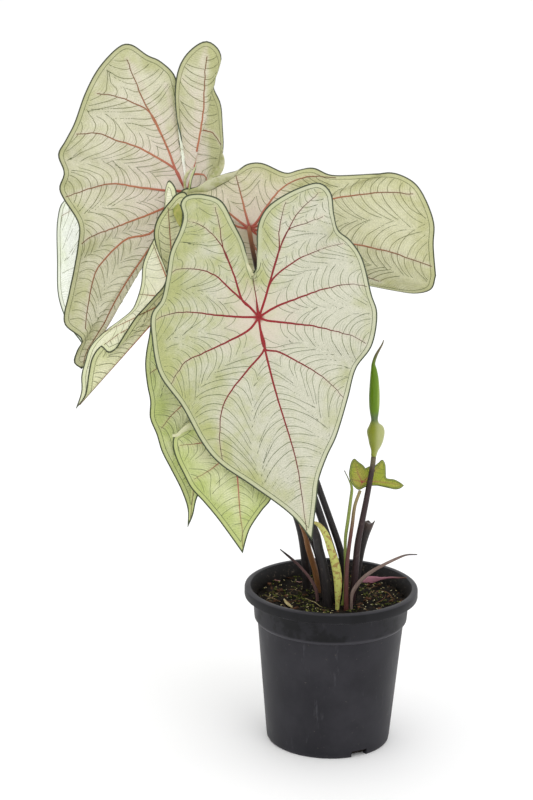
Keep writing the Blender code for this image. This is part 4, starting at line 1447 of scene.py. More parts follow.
@dataclass
class Stub:
    """Stub of an old cut stalk, dished at its top, with a torn spike."""

    foot: Reading
    path: list[tuple[float, float, float, float]]
    wall: float = 0.8
    steps_in: tuple[float, ...] = (0.0, 3.0, 7.0, 14.0)
    spike: float = 3.2
    sides: int = 26

    def build(self) -> bpy.types.Object:
        """Make the stub.

        Returns:
            The new object.
        """
        rows = [(*self.foot, z, 2.4) for z in (TUBER_TOP_Z + FOOT_GAP, 88.0)]
        rows += [(*look(p[:3]), p[3]) for p in self.path]
        dense = spaced(catmull(np.array(rows), 10), 40)
        top, radius = dense[-1, :3], dense[-1, 3]
        axis = unit(top - dense[-3, :3])
        steps = np.array(self.steps_in)
        rise = axis * 0.01 * np.arange(1, len(steps) + 1)[:, None]
        points = np.vstack([dense[:, :3], top + rise])
        r = np.concatenate([dense[:, 3], radius - self.wall - 0.4 * steps / steps[-1]])
        bm = tube_mesh()
        add_tube(bm, points, VIEWER, r, r, self.sides)
        tidy(bm)
        for v in bm.verts:
            p = np.array(v.co) / MM - top
            up = p @ axis
            if up > -0.5 and np.linalg.norm(p - axis * up) > radius - self.wall - 0.05:
                tear = 0.5 * math.sin(5.0 * math.atan2(p[1], p[0])) + 0.3
                spike = self.spike * max(0.0, p[0] / radius - 0.75) * 4
                v.co += Vector(axis * (tear + spike)) * MM
        return new_piece("stub_skin", bm, [STUB_FINISH.material()], "stalk_dark", ("cut_stub",))


# Pot and potting mix


@dataclass
class Pot:
    """Nursery pot: lip, collar, ledge, tapered wall, raised floor ring and foot notches."""

    height: float = 111.0
    rim: float = 60.0
    rim_inner: float = 55.5
    lip_low: float = 104.0
    collar: tuple[float, float] = (53.9, 53.0)
    collar_low: float = 88.5
    wall_top: float = 50.7
    wall_foot: float = 43.5
    wall: float = 1.5
    steps: int = 160
    notch: tuple[float, float] = (12.0, 4.6)
    notch_deep: float = 11.0
    notch_turns: tuple[float, ...] = (-61.0, 119.0)
    drains: int = 8
    drain_radius: float = 3.5
    drain_circle: float = 28.5

    def wall_at(self, z: float) -> float:
        """Outer radius of the tapered wall."""
        return self.wall_foot + (self.wall_top - self.wall_foot) * (z - 6) / (self.collar_low - 8)

    def profile(self) -> list[Point3]:
        """Section of the pot, from the pad round to the floor.

        Returns:
            Radius, height and how worn each corner is; a negative value marks the inner wall above
            the mix for painted shade with grime.
        """
        ledge, w = self.collar_low - 2.0, self.wall
        return [(0.02, 0, 0), (18, 0, 0), (18.8, 0.6, 0), (21, 4, 0), (36, 4, 0), (38.2, 0.6, 0),
                (39, 0, 0.3), (41.9, 0, 0.6), (42.5, 0.25, 0.7), (42.9, 0.9, 0.5), (43.2, 3, 0.15),
                (self.wall_foot, 6, 0), (self.wall_at(26), 26, 0), (self.wall_at(46), 46, 0),
                (self.wall_at(66), 66, 0), (self.wall_at(80), 80, 0),
                (self.wall_top - 0.05, ledge - 1.3, 0), (self.wall_top + 0.1, ledge - 0.5, 0.3),
                (self.wall_top + 0.8, ledge - 0.05, 1), (self.collar[1] - 0.8, ledge + 0.9, 1),
                (self.collar[1] - 0.2, self.collar_low - 0.3, 0.8), (self.collar[1], 89.6, 0.2),
                (self.collar[0] - 0.3, 98, 0), (self.collar[0], self.lip_low - 0.6, 0),
                (self.collar[0] + 0.5, self.lip_low, 0), (self.rim - 0.8, self.lip_low, 0.2),
                (self.rim - 0.2, self.lip_low + 0.3, 0.5), (self.rim, self.lip_low + 1, 0.3),
                (self.rim, self.height - 1.6, 0.3), (self.rim - 0.3, self.height - 0.6, 0.8),
                (self.rim - 1.1, self.height - 0.1, 0.9), (self.rim - 2.0, self.height, 0.7),
                (self.rim_inner + 1.2, self.height, 0.7),
                (self.rim_inner + 0.4, self.height - 0.25, 0.6),
                (self.rim_inner, self.height - 1.0, -0.4),
                (self.collar[0] - w, self.lip_low - 1.5, -1), (self.collar[1] - w, 89.5, -1),
                (self.wall_top - w, ledge - 1, -1), (self.wall_at(46) - w, 46, 0),
                (self.wall_foot - w, 6, 0), (self.wall_foot - w - 0.8, 2.2, 0),
                (self.wall_foot - 3.2, w, 0), (39.6, w, 0), (36.9, 4 + w, 0), (20.1, 4 + w, 0),
                (17.6, w, 0), (0.02, w, 0)]

    def build(self) -> bpy.types.Object:
        """Turn the section and cut the notches and drain holes.

        Returns:
            The new object.
        """
        bm = bmesh.new()
        wear = float_layer(bm, "wear")
        verts = []
        # Third value: how worn a corner is; a negative one marks painted shade with grime on the
        # inner wall.
        for r, z, worn in self.profile():
            v = bm.verts.new((r * MM, 0, z * MM))
            v[wear] = worn
            verts.append(v)
        edges = [bm.edges.new(pair) for pair in zip(verts, verts[1:])]
        bmesh.ops.spin(bm, geom=verts + edges, cent=(0, 0, 0), axis=(0, 0, 1), angle=2 * math.pi,
                       steps=self.steps, use_merge=True, use_duplicate=False)
        bmesh.ops.remove_doubles(bm, verts=bm.verts, dist=5e-5)
        bmesh.ops.holes_fill(bm, edges=[e for e in bm.edges if e.is_boundary], sides=0)
        bmesh.ops.recalc_face_normals(bm, faces=bm.faces)
        for f in bm.faces:
            f.smooth = True
        piece = new_piece("pot_shell", bm, [PotFinish().material()], "pot_plastic", ("pot",))
        self._cut(piece)
        return piece

    def _cut(self, piece: bpy.types.Object) -> None:
        """Cut the notches and holes with one Boolean, and apply it.

        Args:
            piece: The turned pot.
        """
        tools = bmesh.new()
        wide, high = self.notch
        for turn in self.notch_turns:
            made = bmesh.ops.create_cube(tools, size=1.0)["verts"]
            spot = (Matrix.Rotation(math.radians(turn), 4, "Z")
                    @ Matrix.Translation(Vector((self.wall_foot - 1.0, 0, high / 2 - 1)) * MM))
            bmesh.ops.scale(tools, vec=Vector((self.notch_deep, wide, high + 2)) * MM, verts=made)
            bmesh.ops.transform(tools, matrix=spot, verts=made)
        for i in range(self.drains):
            a = 2 * math.pi * (i + 0.5) / self.drains
            made = bmesh.ops.create_cone(tools, segments=24, cap_ends=True, depth=12 * MM,
                                         radius1=self.drain_radius * MM,
                                         radius2=self.drain_radius * MM)["verts"]
            at = Vector((self.drain_circle * math.cos(a), self.drain_circle * math.sin(a), 4))
            bmesh.ops.translate(tools, verts=made, vec=at * MM)
        mesh = bpy.data.meshes.new("pot_tools")
        tools.to_mesh(mesh)
        tools.free()
        cutter = bpy.data.objects.new("pot_tools", mesh)
        bpy.context.scene.collection.objects.link(cutter)
        mod = piece.modifiers.new("cut", "BOOLEAN")
        mod.operation, mod.solver, mod.object = "DIFFERENCE", "EXACT", cutter
        graph = bpy.context.evaluated_depsgraph_get()
        done = bpy.data.meshes.new_from_object(piece.evaluated_get(graph))
        piece.modifiers.clear()
        piece.data = done
        bpy.data.objects.remove(cutter, do_unlink=True)
        bm = bmesh.new()
        bm.from_mesh(done)
        for e in bm.edges:
            e.smooth = e.calc_face_angle(0.0) < math.radians(38)
        bm.to_mesh(done)
        bm.free()


@dataclass
class MixTop:
    """Crumbly top of the potting mix, with moss, husks, chips and rootlets."""

    radius: float = 51.6
    strewn: float = 50.5
    stems: float = 17.0
    bump: float = 1.1
    seed: int = 11
    moss: int = 900
    husks: int = 240
    chips: int = 60
    roots: int = 26

    def height(self, x: float, y: float) -> float:
        """Bumpy level of the mix, as in the part's source, with finer crumbs.

        Args:
            x: Place to the right.
            y: Place away from the viewer.

        Returns:
            The height there, in millimetres.
        """
        wave = (math.sin(0.21 * x + 0.9) * math.cos(0.17 * y - 0.4)
                + 0.6 * math.sin(0.37 * y + 0.11 * x) + 0.4 * math.cos(0.43 * x - 0.29 * y + 1.1))
        crumb = noise.fractal(Vector((x, y, 0)) * 0.22, 1.0, 2.1, 4)
        fine = noise.noise(Vector((x, y, 7)) * 1.1)
        return SOIL_Z + self.bump * wave / 2 + 0.9 + 1.5 * crumb + 0.45 * fine

    def build(self) -> None:
        """Make the crust and what lies on it."""
        self._crust()
        self._scraps()
        self._rootlets()
        self._litter()

    def _crust(self) -> None:
        """Thin crumbly crust over the mix."""
        bm = bmesh.new()
        made = bmesh.ops.create_grid(bm, x_segments=150, y_segments=44, size=1.0)["verts"]
        for v in made:
            a, f = (v.co.x + 1) * math.pi, (v.co.y + 1) / 2
            x, y = self.radius * f * math.cos(a), self.radius * f * math.sin(a)
            v.co = Vector((x, y, self.height(x, y))) * MM
        bmesh.ops.remove_doubles(bm, verts=bm.verts, dist=2e-5)
        edge = [e for e in bm.edges if e.is_boundary]
        skirt = bmesh.ops.extrude_edge_only(bm, edges=edge)["geom"]
        for g in skirt:
            if isinstance(g, bmesh.types.BMVert):
                g.co.z = (SOIL_Z - 1.2) * MM
        rim = [g for g in skirt if isinstance(g, bmesh.types.BMEdge)]
        bmesh.ops.contextual_create(bm, geom=rim)
        bmesh.ops.recalc_face_normals(bm, faces=bm.faces)
        for f in bm.faces:
            f.smooth = True
        new_piece("mix_crust", bm, [MIX_CRUST.material()], "potting_mix")

    def _spot(self, rng: random.Random) -> Reading:
        """A random spot on the mix, seldom among the stems.

        Args:
            rng: Source of the draws.

        Returns:
            Its x and y.
        """
        while True:
            r, a = self.strewn * math.sqrt(rng.random()), rng.uniform(0, 2 * math.pi)
            x, y = r * math.cos(a), r * math.sin(a)
            if math.hypot(x, y + 2) > self.stems or rng.random() < 0.12:
                return x, y

    def _scraps(self) -> None:
        """Moss tufts, pale husks and bark chips."""
        rng = random.Random(self.seed)
        kinds = (("moss", self.moss, Grain.CRUMB, MOSS), ("husks", self.husks, Grain.HUSK, HUSKS),
                 ("bark", self.chips, Grain.CHIP, BARK))
        for name, count, grain, finish in kinds:
            bm = bmesh.new()
            for _ in range(count):
                x, y = self._spot(rng)
                patch = noise.noise(Vector((x, y, 3)) * 0.075)
                if grain is Grain.CRUMB and patch < -0.06:
                    continue
                if grain is Grain.CHIP:
                    made = bmesh.ops.create_cube(bm, size=1.0)["verts"]
                    size = (rng.uniform(1.6, 5.0), rng.uniform(1.0, 2.4), rng.uniform(0.5, 1.1))
                else:
                    made = bmesh.ops.create_icosphere(bm, subdivisions=1, radius=0.5)["verts"]
                    size = ((rng.uniform(0.7, 2.6), rng.uniform(0.7, 2.2), rng.uniform(0.5, 1.5))
                            if grain is Grain.CRUMB else
                            (rng.uniform(0.9, 2.8), rng.uniform(0.4, 0.9), rng.uniform(0.3, 0.6)))
                for v in made:
                    v.co *= 1.0 + 0.35 * noise.noise(v.co * 3.0 + Vector((x, y, 0)))
                spot = (Matrix.Translation(Vector((x, y, self.height(x, y) + 0.15)) * MM)
                        @ Matrix.Rotation(rng.uniform(0, 6.28), 4, "Z")
                        @ Matrix.Rotation(rng.uniform(-0.5, 0.5), 4, "Y"))
                bmesh.ops.scale(bm, vec=Vector(size) * MM, verts=made)
                bmesh.ops.transform(bm, matrix=spot, verts=made)
            for f in bm.faces:
                f.smooth = grain is not Grain.CHIP
            new_piece("mix_" + name, bm, [finish.material()], "potting_mix")

    def _rootlets(self) -> None:
        """Thin dry rootlets lying on the crust."""
        rng = random.Random(self.seed + 5)
        bm = tube_mesh()
        for _ in range(self.roots):
            x, y = self._spot(rng)
            a, bend = rng.uniform(0, 6.28), rng.uniform(-0.25, 0.25)
            line = []
            for _ in range(8):
                if math.hypot(x, y) < 50:
                    line.append((x, y, self.height(x, y) + 0.3))
                x, y, a = x + 1.5 * math.cos(a), y + 1.5 * math.sin(a), a + bend
            if len(line) > 3:
                half = np.full(len(line), rng.uniform(0.14, 0.3))
                add_tube(bm, np.array(line), UPWARD, half, half, 5)
        tidy(bm)
        new_piece("mix_rootlets", bm, [ROOTLET.material()], "potting_mix")

    def _litter(self) -> None:
        """The dry strands and bits that can be told apart on the mix."""
        for name, colours, rows in LITTER:
            bm = tube_mesh()
            for half, high, spots in rows:
                line = spaced(catmull(np.array(spots, float), 8), 16)
                points = np.array([(x, y, self.height(x, y) + high) for x, y in line])
                points[:, 2] = np.convolve(np.pad(points[:, 2], 2, "edge"), np.ones(5) / 5, "valid")
                way = np.linspace(0, 1, len(points))
                wide = half * (0.35 + 0.65 * np.sin(math.pi * np.clip(way, 0.03, 0.97)))
                add_tube(bm, points, UPWARD, wide, np.minimum(wide, 0.35), 8)
            tidy(bm)
            finish = LooseFinish("litter_" + name, *colours, 500.0, 0.0004)
            new_piece("mix_" + name, bm, [finish.material()], "potting_mix")


LITTER = (
    ("straw", ((0.34, 0.27, 0.12), (0.60, 0.52, 0.30)),
     ((1.5, 1.2, [(-32.5, -5.8), (-29.8, -13.7), (-27.1, -21.6)]),
      (0.25, 1.0, [(-17.9, -1.0), (-13.2, -8.9), (-5.9, -20.6)]))),
    ("twigs", ((0.30, 0.14, 0.12), (0.55, 0.36, 0.32)),
     ((0.7, 1.2, [(-39.5, 36.3), (-37.3, 32.0), (-35.2, 30.0)]),
      (0.4, 1.0, [(-24.0, 30.0), (-20.5, 33.0), (-18.0, 33.5)]))),
    ("fibres", ((0.10, 0.045, 0.02), (0.26, 0.14, 0.07)),
     ((0.3, 1.1, [(35.0, 17.9), (40.2, 9.9), (44.4, -2.2)]),
      (0.22, 1.4, [(30.0, -12.0), (36.0, -4.0), (38.5, 6.0)]))))


# Finishes of this plant

MIX_CRUST = LooseFinish("mix_crust", (0.003, 0.0025, 0.002), (0.022, 0.015, 0.009), 230.0, 0.002)
MOSS = LooseFinish("moss_green", (0.018, 0.027, 0.005), (0.24, 0.25, 0.06), 600.0)
HUSKS = LooseFinish("husk_pale", (0.42, 0.35, 0.14), (0.80, 0.74, 0.50), 700.0, 0.0004)
BARK = LooseFinish("bark_brown", (0.05, 0.025, 0.014), (0.17, 0.08, 0.04), 300.0)
ROOTLET = LooseFinish("rootlet", (0.1, 0.06, 0.03), (0.34, 0.24, 0.13), 400.0, 0.0003)
MIX = LooseFinish("potting_mix", (0.005, 0.004, 0.003), (0.03, 0.02, 0.012), 230.0, 0.002)
TUBER = LooseFinish("tuber_skin", (0.05, 0.03, 0.018), (0.2, 0.12, 0.07), 160.0, 0.001)
STAR = (0.24, 0.004, 0.008)
TAN_STAR = (0.26, 0.055, 0.04)
UPPER = LeafFinish("leaf_upper", (0.61, 0.60, 0.48), (0.43, 0.45, 0.19), (0.62, 0.50, 0.42),
                   (0.12, 0.16, 0.06), (0.022, 0.036, 0.014), (0.52, 0.54, 0.36), STAR,
                   side=(-0.105, 0.005))
UNDER = LeafFinish("leaf_under", (0.66, 0.64, 0.48), (0.46, 0.47, 0.23), (0.69, 0.57, 0.53),
                   (0.15, 0.14, 0.05), (0.028, 0.036, 0.014), (0.42, 0.43, 0.22), TAN_STAR,
                   blush_reach=76.0, blush_strength=0.62, green_bias=0.10,
                   side=(-0.086, -0.094), bare_side=0.85)
# Painted light: a paler copy of the upper face for the left blade, brightened to make up for the
# shade it lies in.
UPPER_FAR_PAINTED_LIGHT = LeafFinish("leaf_upper_far_painted_light", (0.95, 0.97, 0.90), (0.78, 0.84, 0.62), (0.70, 0.62, 0.52),
                       (0.20, 0.26, 0.14), (0.04, 0.06, 0.03), (0.70, 0.74, 0.58), TAN_STAR,
                       green_bias=-0.06)
UNDER_RIGHT = LeafFinish("leaf_under_right", (0.67, 0.66, 0.45), (0.49, 0.49, 0.23),
                         (0.66, 0.53, 0.48), (0.15, 0.15, 0.05), (0.028, 0.036, 0.014),
                         (0.46, 0.47, 0.24), TAN_STAR, blush_reach=56.0, blush_strength=0.66)
UPPER_GREEN = LeafFinish("leaf_upper_green", (0.68, 0.70, 0.42), (0.44, 0.51, 0.16),
                         (0.55, 0.50, 0.26), (0.10, 0.15, 0.04), (0.022, 0.036, 0.012),
                         (0.45, 0.50, 0.2), TAN_STAR, green_bias=0.04)
UNDER_GREEN = LeafFinish("leaf_under_green", (0.54, 0.53, 0.28), (0.38, 0.42, 0.14),
                         (0.48, 0.40, 0.22), (0.13, 0.14, 0.04), (0.03, 0.04, 0.014),
                         (0.38, 0.40, 0.16), TAN_STAR, green_bias=0.04)
INNER_FOLD = LeafFinish("leaf_fold_inner", (0.90, 0.89, 0.72), (0.76, 0.78, 0.50),
                        (0.62, 0.56, 0.34), (0.14, 0.17, 0.05), (0.03, 0.04, 0.015),
                        (0.62, 0.66, 0.38), TAN_STAR, blush_strength=0.15, green_bias=-0.03)
OUTER_FOLD = LeafFinish("leaf_fold_outer", (0.84, 0.83, 0.58), (0.66, 0.69, 0.34),
                        (0.60, 0.53, 0.30), (0.15, 0.16, 0.05), (0.03, 0.04, 0.015),
                        (0.52, 0.55, 0.28), TAN_STAR, blush_strength=0.2, green_bias=-0.03)
YOUNG = LeafFinish("leaf_young", (0.42, 0.46, 0.06), (0.29, 0.34, 0.025), (0.48, 0.36, 0.09),
                   (0.10, 0.14, 0.02), (0.05, 0.075, 0.015), (0.32, 0.38, 0.07),
                   (0.42, 0.14, 0.07), blush_reach=7.0, blush_strength=0.3, star_reach=1.4,
                   line=0.6)
RED_RIB = VeinFinish("rib_red", (0.27, 0.004, 0.008), (0.21, 0.008, 0.010), (0.07, 0.026, 0.012))
PINK_RIB = VeinFinish("rib_pink", (0.50, 0.12, 0.09), (0.46, 0.17, 0.11), (0.22, 0.16, 0.06))
TAN_RIB = VeinFinish("rib_tan", (0.40, 0.085, 0.06), (0.42, 0.155, 0.075), (0.17, 0.09, 0.035))
GREEN_TWIG = VeinFinish("twig_green", (0.20, 0.21, 0.10), (0.11, 0.14, 0.05), (0.06, 0.08, 0.025))
BROWN_TWIG = VeinFinish("twig_brown", (0.30, 0.25, 0.13), (0.19, 0.19, 0.08), (0.11, 0.13, 0.04))
BLACK_STALK = StalkFinish("stalk_black", (0.013, 0.011, 0.012), (0.04, 0.03, 0.028),
                          (0.11, 0.06, 0.04), top_from=0.94)
RIGHT_STALK = StalkFinish("stalk_right", (0.013, 0.011, 0.012), (0.04, 0.03, 0.028),
                          (0.34, 0.12, 0.05), top_from=0.88)
BROWN_STALK = StalkFinish("stalk_orange", (0.20, 0.085, 0.028), (0.40, 0.20, 0.07),
                          (0.2, 0.16, 0.05), top_from=0.9)
BUD_STALK = StalkFinish("stalk_bud", (0.024, 0.011, 0.013), (0.075, 0.034, 0.032),
                        (0.13, 0.11, 0.06), top_from=0.9)
SMALL_STALK = StalkFinish("stalk_small", (0.085, 0.025, 0.022), (0.20, 0.08, 0.06),
                          (0.34, 0.28, 0.13), top_from=0.66)
YOUNG_STALK = StalkFinish("stalk_young", (0.20, 0.26, 0.05), (0.42, 0.46, 0.15),
                          (0.05, 0.06, 0.03), top_from=0.9)
YELLOW_SHEATH = StalkFinish("sheath_yellow", (0.50, 0.52, 0.13), (0.60, 0.60, 0.22),
                            (0.40, 0.36, 0.12), top_from=0.85, marks=0.7, mark=(0.28, 0.10, 0.03))
MAUVE_SHEATH = StalkFinish("sheath_mauve", (0.15, 0.10, 0.085), (0.40, 0.31, 0.26),
                           (0.04, 0.03, 0.03), top_from=0.8, streaks=0.8, roughness=0.6)
DARK_SHEATH = StalkFinish("sheath_dark", (0.12, 0.06, 0.06), (0.34, 0.19, 0.17),
                          (0.012, 0.011, 0.012), top_from=0.5, roughness=0.55)
PINK_SCRAP = StalkFinish("scrap_pink", (0.50, 0.2, 0.27), (0.62, 0.35, 0.42),
                         (0.11, 0.055, 0.035), top_from=0.42, roughness=0.6)
STUB_FINISH = StalkFinish("stalk_cut", (0.012, 0.010, 0.010), (0.05, 0.036, 0.03),
                          (0.05, 0.032, 0.026), top_from=0.9)
ROLL_GREY = FlapFinish("roll_grey", (0.50, 0.49, 0.32), (0.34, 0.35, 0.15))
ROLL_PALE = FlapFinish("roll_pale", (0.66, 0.66, 0.42), (0.50, 0.53, 0.26), (0.16, 0.19, 0.07))
ROLL_OLIVE = FlapFinish("roll_olive", (0.44, 0.42, 0.12), (0.24, 0.29, 0.06), (0.04, 0.045, 0.02),
                        line=0.08)
ROLL_CURL = FlapFinish("roll_curl", (0.50, 0.52, 0.28), (0.30, 0.36, 0.12), (0.03, 0.04, 0.02),
                       line=0.12)
ROLL_CREAM = FlapFinish("roll_cream", (0.58, 0.56, 0.36), (0.40, 0.42, 0.18), (0.07, 0.08, 0.03))


@dataclass
class Plant:
    """All leaves, stalks and sheaths."""

    def blades(self) -> dict[str, Blade]:
        """The leaf blades.

        Returns:
            Each blade by its node.
        """
        return {b.node: b for b in (
            Blade("front_blade", FRONT, UPPER, UNDER, RED_RIB, GREEN_TWIG, "leaf_upper"),
            Blade("left_blade", LEFT, UPPER_FAR_PAINTED_LIGHT, UNDER, TAN_RIB, BROWN_TWIG, "leaf_under",
                  around=300, seed=5),
            Blade("right_blade", RIGHT_LEAF, UPPER, UNDER_RIGHT, TAN_RIB, BROWN_TWIG,
                  "leaf_under", seed=8),
            Blade("folded_blade", FOLDED, INNER_FOLD, OUTER_FOLD, TAN_RIB, BROWN_TWIG,
                  "leaf_under", around=300, rings=54, rib_wide=(1.6, 0.8), puff=0.5, seed=9),
            Blade("low_left_blade", LOW_LEFT, UPPER_GREEN, UNDER_GREEN, TAN_RIB, GREEN_TWIG,
                  "leaf_upper", rings=60, rib_wide=(1.9, 0.9), seed=12),
            Blade("low_mid_blade", LOW_MID, UPPER_GREEN, UNDER_GREEN, PINK_RIB, GREEN_TWIG,
                  "leaf_upper", rings=54, rib_wide=(2.0, 0.9), seed=14),
            Blade("small_blade", SMALL, YOUNG, YOUNG, PINK_RIB, GREEN_TWIG, "young_green",
                  around=120, rings=20, rib_wide=(0.6, 0.35), twig_wide=0.3, twig_step=3.0,
                  puff=0.3, rim_vein=1.2, seed=15))}

    def flaps(self, blades: dict[str, Blade]) -> list[Flap]:
        """The places where a margin rolls over toward the viewer.

        Args:
            blades: The blades by node.

        Returns:
            The rolls.
        """
        front, left, right = (blades[n + "_blade"] for n in ("front", "left", "right"))
        folded, mid = blades["folded_blade"], blades["low_mid_blade"]
        return [
            Flap("right_top_roll", right,
                 [(-45.9, 21.6), (-40.3, 25.3), (-35, 27.4), (-30.4, 30.5), (-27.1, 32.6),
                  (-23.7, 33.7), (-19.8, 35.1), (-16.5, 36.1), (-12.5, 37), (-9.2, 38.4),
                  (-7.2, 39.8)],
                 [(-45.9, 20.9), (-41.6, 23), (-36.3, 23.5), (-30.9, 23.6), (-27, 24.6),
                  (-23.6, 26.3), (-20.3, 28.3), (-16.4, 30.5), (-13.1, 32.3), (-10.4, 34.8),
                  (-7.2, 39.6)], ROLL_GREY, "leaf_under", 1.5),
            Flap("left_corner_roll", left,
                 [(23.5, 29), (23.8, 23.6), (22.8, 18.1), (20.2, 13.4), (16.1, 10.1), (13.4, 7.9)],
                 [(23.3, 29), (22.4, 23.5), (20.4, 18.8), (17.8, 14.7), (15.4, 11.6), (13.4, 8.2)],
                 ROLL_CREAM, "leaf_under", 0.9),
            Flap("left_hub_curl", left, [(-2.1, 0.2), (-2.5, 6.9), (-1.6, 12), (3.5, 17.2)],
                 [(-0.4, 1.6), (-0.8, 7.6), (1.1, 12.4), (3.5, 17.2)],
                 ROLL_CREAM, "leaf_under", 0.8),
            Flap("mid_top_roll", mid,
                 [(-40.7, -6.6), (-37.1, -5.9), (-33.3, -2.5), (-29.4, 0.8), (-25.5, 0.8)],
                 [(-40.7, -8.5), (-37.1, -8.5), (-33.9, -5.8), (-29.3, -4.8), (-25.5, -4.4)],
                 ROLL_PALE, "leaf_upper", 0.9),
            Flap("folded_olive", folded,
                 [(1, 62.4), (-1, 59.7), (-2.3, 57), (-0.2, 51), (2.9, 45.7)],
                 [(1, 62.4), (3, 60.4), (4.4, 57.1), (4.2, 51.1), (2.9, 45.7)],
                 ROLL_OLIVE, "leaf_under", 0.7, toward=9.0),
            Flap("right_corner_curl", right,
                 [(-41.4, 24.6), (-41.1, 28.6), (-40.2, 34.6), (-37.9, 39.3), (-36, 41.6)],
                 [(-40.6, 24.6), (-39.6, 27.3), (-38.8, 32), (-37, 37.3), (-36, 41.6)],
                 ROLL_CURL, "leaf_under", 0.5),
            Flap("front_sinus_curl", front, [(-8.6, 35.2), (-8.4, 30.1), (-7.4, 26.6), (-3.6, 27)],
                 [(-8.3, 35.2), (-6.2, 31.7), (-4.9, 29.5), (-2.9, 27)], ROLL_CREAM,
                 "leaf_upper", 0.8)]

    def stalks(self, blades: dict[str, Blade]) -> list[Stalk]:
        """The stalks, each with the blade that it carries.

        Args:
            blades: The blades by node.

        Returns:
            The stalks.
        """
        dark = "stalk_dark"
        return [
            Stalk("front_petiole", (2, -3), (3, -4), (2.9, 1.9),
                  [(2, 128, -5), (-1, 140, -5), (-13, 175, -6), (-26, 212, -12), (-40, 252, -24),
                   (-49, 280, -36)], BLACK_STALK, dark, blades["front_blade"], 9),
            Stalk("left_petiole", (-12, 14), (-16, 21), (3.3, 1.9),
                  [(-18.5, 132, 20), (-23.5, 158, 19), (-36, 190, 18), (-60, 250, 17),
                   (-83, 310, 18), (-95, 340, 22)], BLACK_STALK, dark, blades["left_blade"], 9),
            Stalk("right_petiole", (6, 4), (9, 3.5), (2.7, 1.5),
                  [(8, 125, 2), (5, 140, 1), (-2, 160, 0), (-10, 182, 0), (-25, 225, -4),
                   (-41, 285, -6), (-54, 331, -2)], RIGHT_STALK, dark, blades["right_blade"], 6,
                  flare=-0.4),
            Stalk("folded_petiole", (-7, 9), (-8.5, 12), (2.2, 1.6),
                  [(-9.6, 114, 12), (-12.3, 126, 12), (-16.4, 139, 11), (-21, 156, 10),
                   (-40, 200, 5), (-70, 253, 3)], BROWN_STALK, "stalk_brown",
                  blades["folded_blade"], 8),
            Stalk("low_left_petiole", (-3, -10), (-2.5, -13), (3.6, 1.8),
                  [(-4.5, 120, -13), (-9, 138, -13), (-14, 155, -13), (-35, 192, -14),
                   (-62, 232, -18), (-80, 258, -26)], BLACK_STALK, dark,
                  blades["low_left_blade"], 8),
            Stalk("low_mid_petiole", (-4, 2), (-4, 3), (2.1, 1.4),
                  [(-8, 125, 1), (-13, 142, -2), (-22, 160, -8), (-40, 187, -22),
                   (-57, 207, -34)], BLACK_STALK, dark, blades["low_mid_blade"], 7),
            Stalk("small_petiole", (8.5, -16), (9.8, -21.5), (1.9, 1.1),
                  [(10.2, 112, -21), (10.3, 126, -20.5), (11.4, 140, -19), (13.2, 156, -15),
                   (14.7, 170, -10), (18.0, 181.0, -5.4)], SMALL_STALK, "stalk_brown"),
            Stalk("peduncle", (10, -7), (13, -11), (2.9, 1.75),
                  [(15.8, 118, -11), (17.2, 141, -11), (19.4, 156, -11), (21.9, 171, -10),
                   (24.2, 186, -9), (26, 199, -8), (26.5, 205.0, -8)], BUD_STALK,
                  "flower_stalk")]

    def straps(self) -> list[Strap]:
        """The sheaths, the rolled leaf and the fallen scrap.

        Returns:
            The straps.
        """
        return [
            Strap("rolled_leaf", (4.5, -11, 84.6, 1.0, 1.0),
                  [(8.5, 103, -14, 1.0, 1.0), (9.4, 122, -14, 1.0, 1.0),
                   (8.8, 145, -14, 1.1, 1.1), (10.3, 160, -14, 1.2, 1.2),
                   (11.8, 175, -14, 1.1, 1.1), (12.3, 183, -14, 0.95, 0.95),
                   (9.9, 189, -14, 0.4, 0.4), (6.9, 195, -14, 0.3, 0.3)],
                  YOUNG_STALK, "young_green"),
            Strap("yellow_sheath", (4, -20.5, 88, 1.3, 1.1),
                  [(4.5, 98, -20.5, 1.4, 1.1), (4.7, 108, -20.5, 2.4, 1.3),
                   (4.4, 116.5, -20.5, 2.9, 1.3), (3.2, 124, -20.5, 3.0, 1.2),
                   (1.4, 131.5, -21, 2.8, 1.2), (-1.2, 139, -21.5, 2.5, 1.1),
                   (-3.8, 147, -22, 2.3, 1.0), (-7.4, 153.5, -23, 1.9, 0.9),
                   (-11, 157, -23, 1.3, 0.7), (-14.7, 158, -23, 0.6, 0.5)],
                  YELLOW_SHEATH, "young_green"),
            Strap("right_sheath", (13.8, -21, 90, 0.9, 0.8),
                  [(14.1, 102, -22, 1.0, 0.8), (15.2, 108.5, -22, 1.4, 0.9),
                   (19.9, 116, -23, 1.4, 0.8), (25.7, 121.6, -25, 1.3, 0.7),
                   (34, 127.1, -27, 1.1, 0.7), (44.7, 132.8, -29, 0.9, 0.6),
                   (51.2, 135.4, -30, 0.6, 0.5), (58.5, 135.8, -30, 0.35, 0.35)],
                  MAUVE_SHEATH, "dry_sheath"),
            Strap("left_sheath", (-9, -4, 90, 1.1, 1.0),
                  [(-9.6, 104, -4, 1.1, 1.0), (-11.3, 111, -4, 1.2, 0.9),
                   (-15.6, 118.3, -4, 1.0, 0.8), (-22.6, 126.5, -5, 0.9, 0.7),
                   (-29, 132.3, -6, 0.9, 0.65), (-35.8, 138, -8, 0.35, 0.35)],
                  DARK_SHEATH, "dry_sheath"),
            Strap("fallen_leaf", None,
                  [(20.8, 115.5, 32, 0.7, 0.5), (23.8, 116.7, 32, 2.1, 0.5),
                   (27.2, 117, 31.5, 2.6, 0.5), (30.6, 117.6, 30, 2.0, 0.5),
                   (34.5, 118, 27, 1.0, 0.5), (40.9, 118.8, 22, 0.65, 0.5),
                   (46, 118.7, 19, 0.6, 0.45), (51.6, 118.9, 16.3, 0.4, 0.4)],
                  PINK_SCRAP, "fallen_pink")]

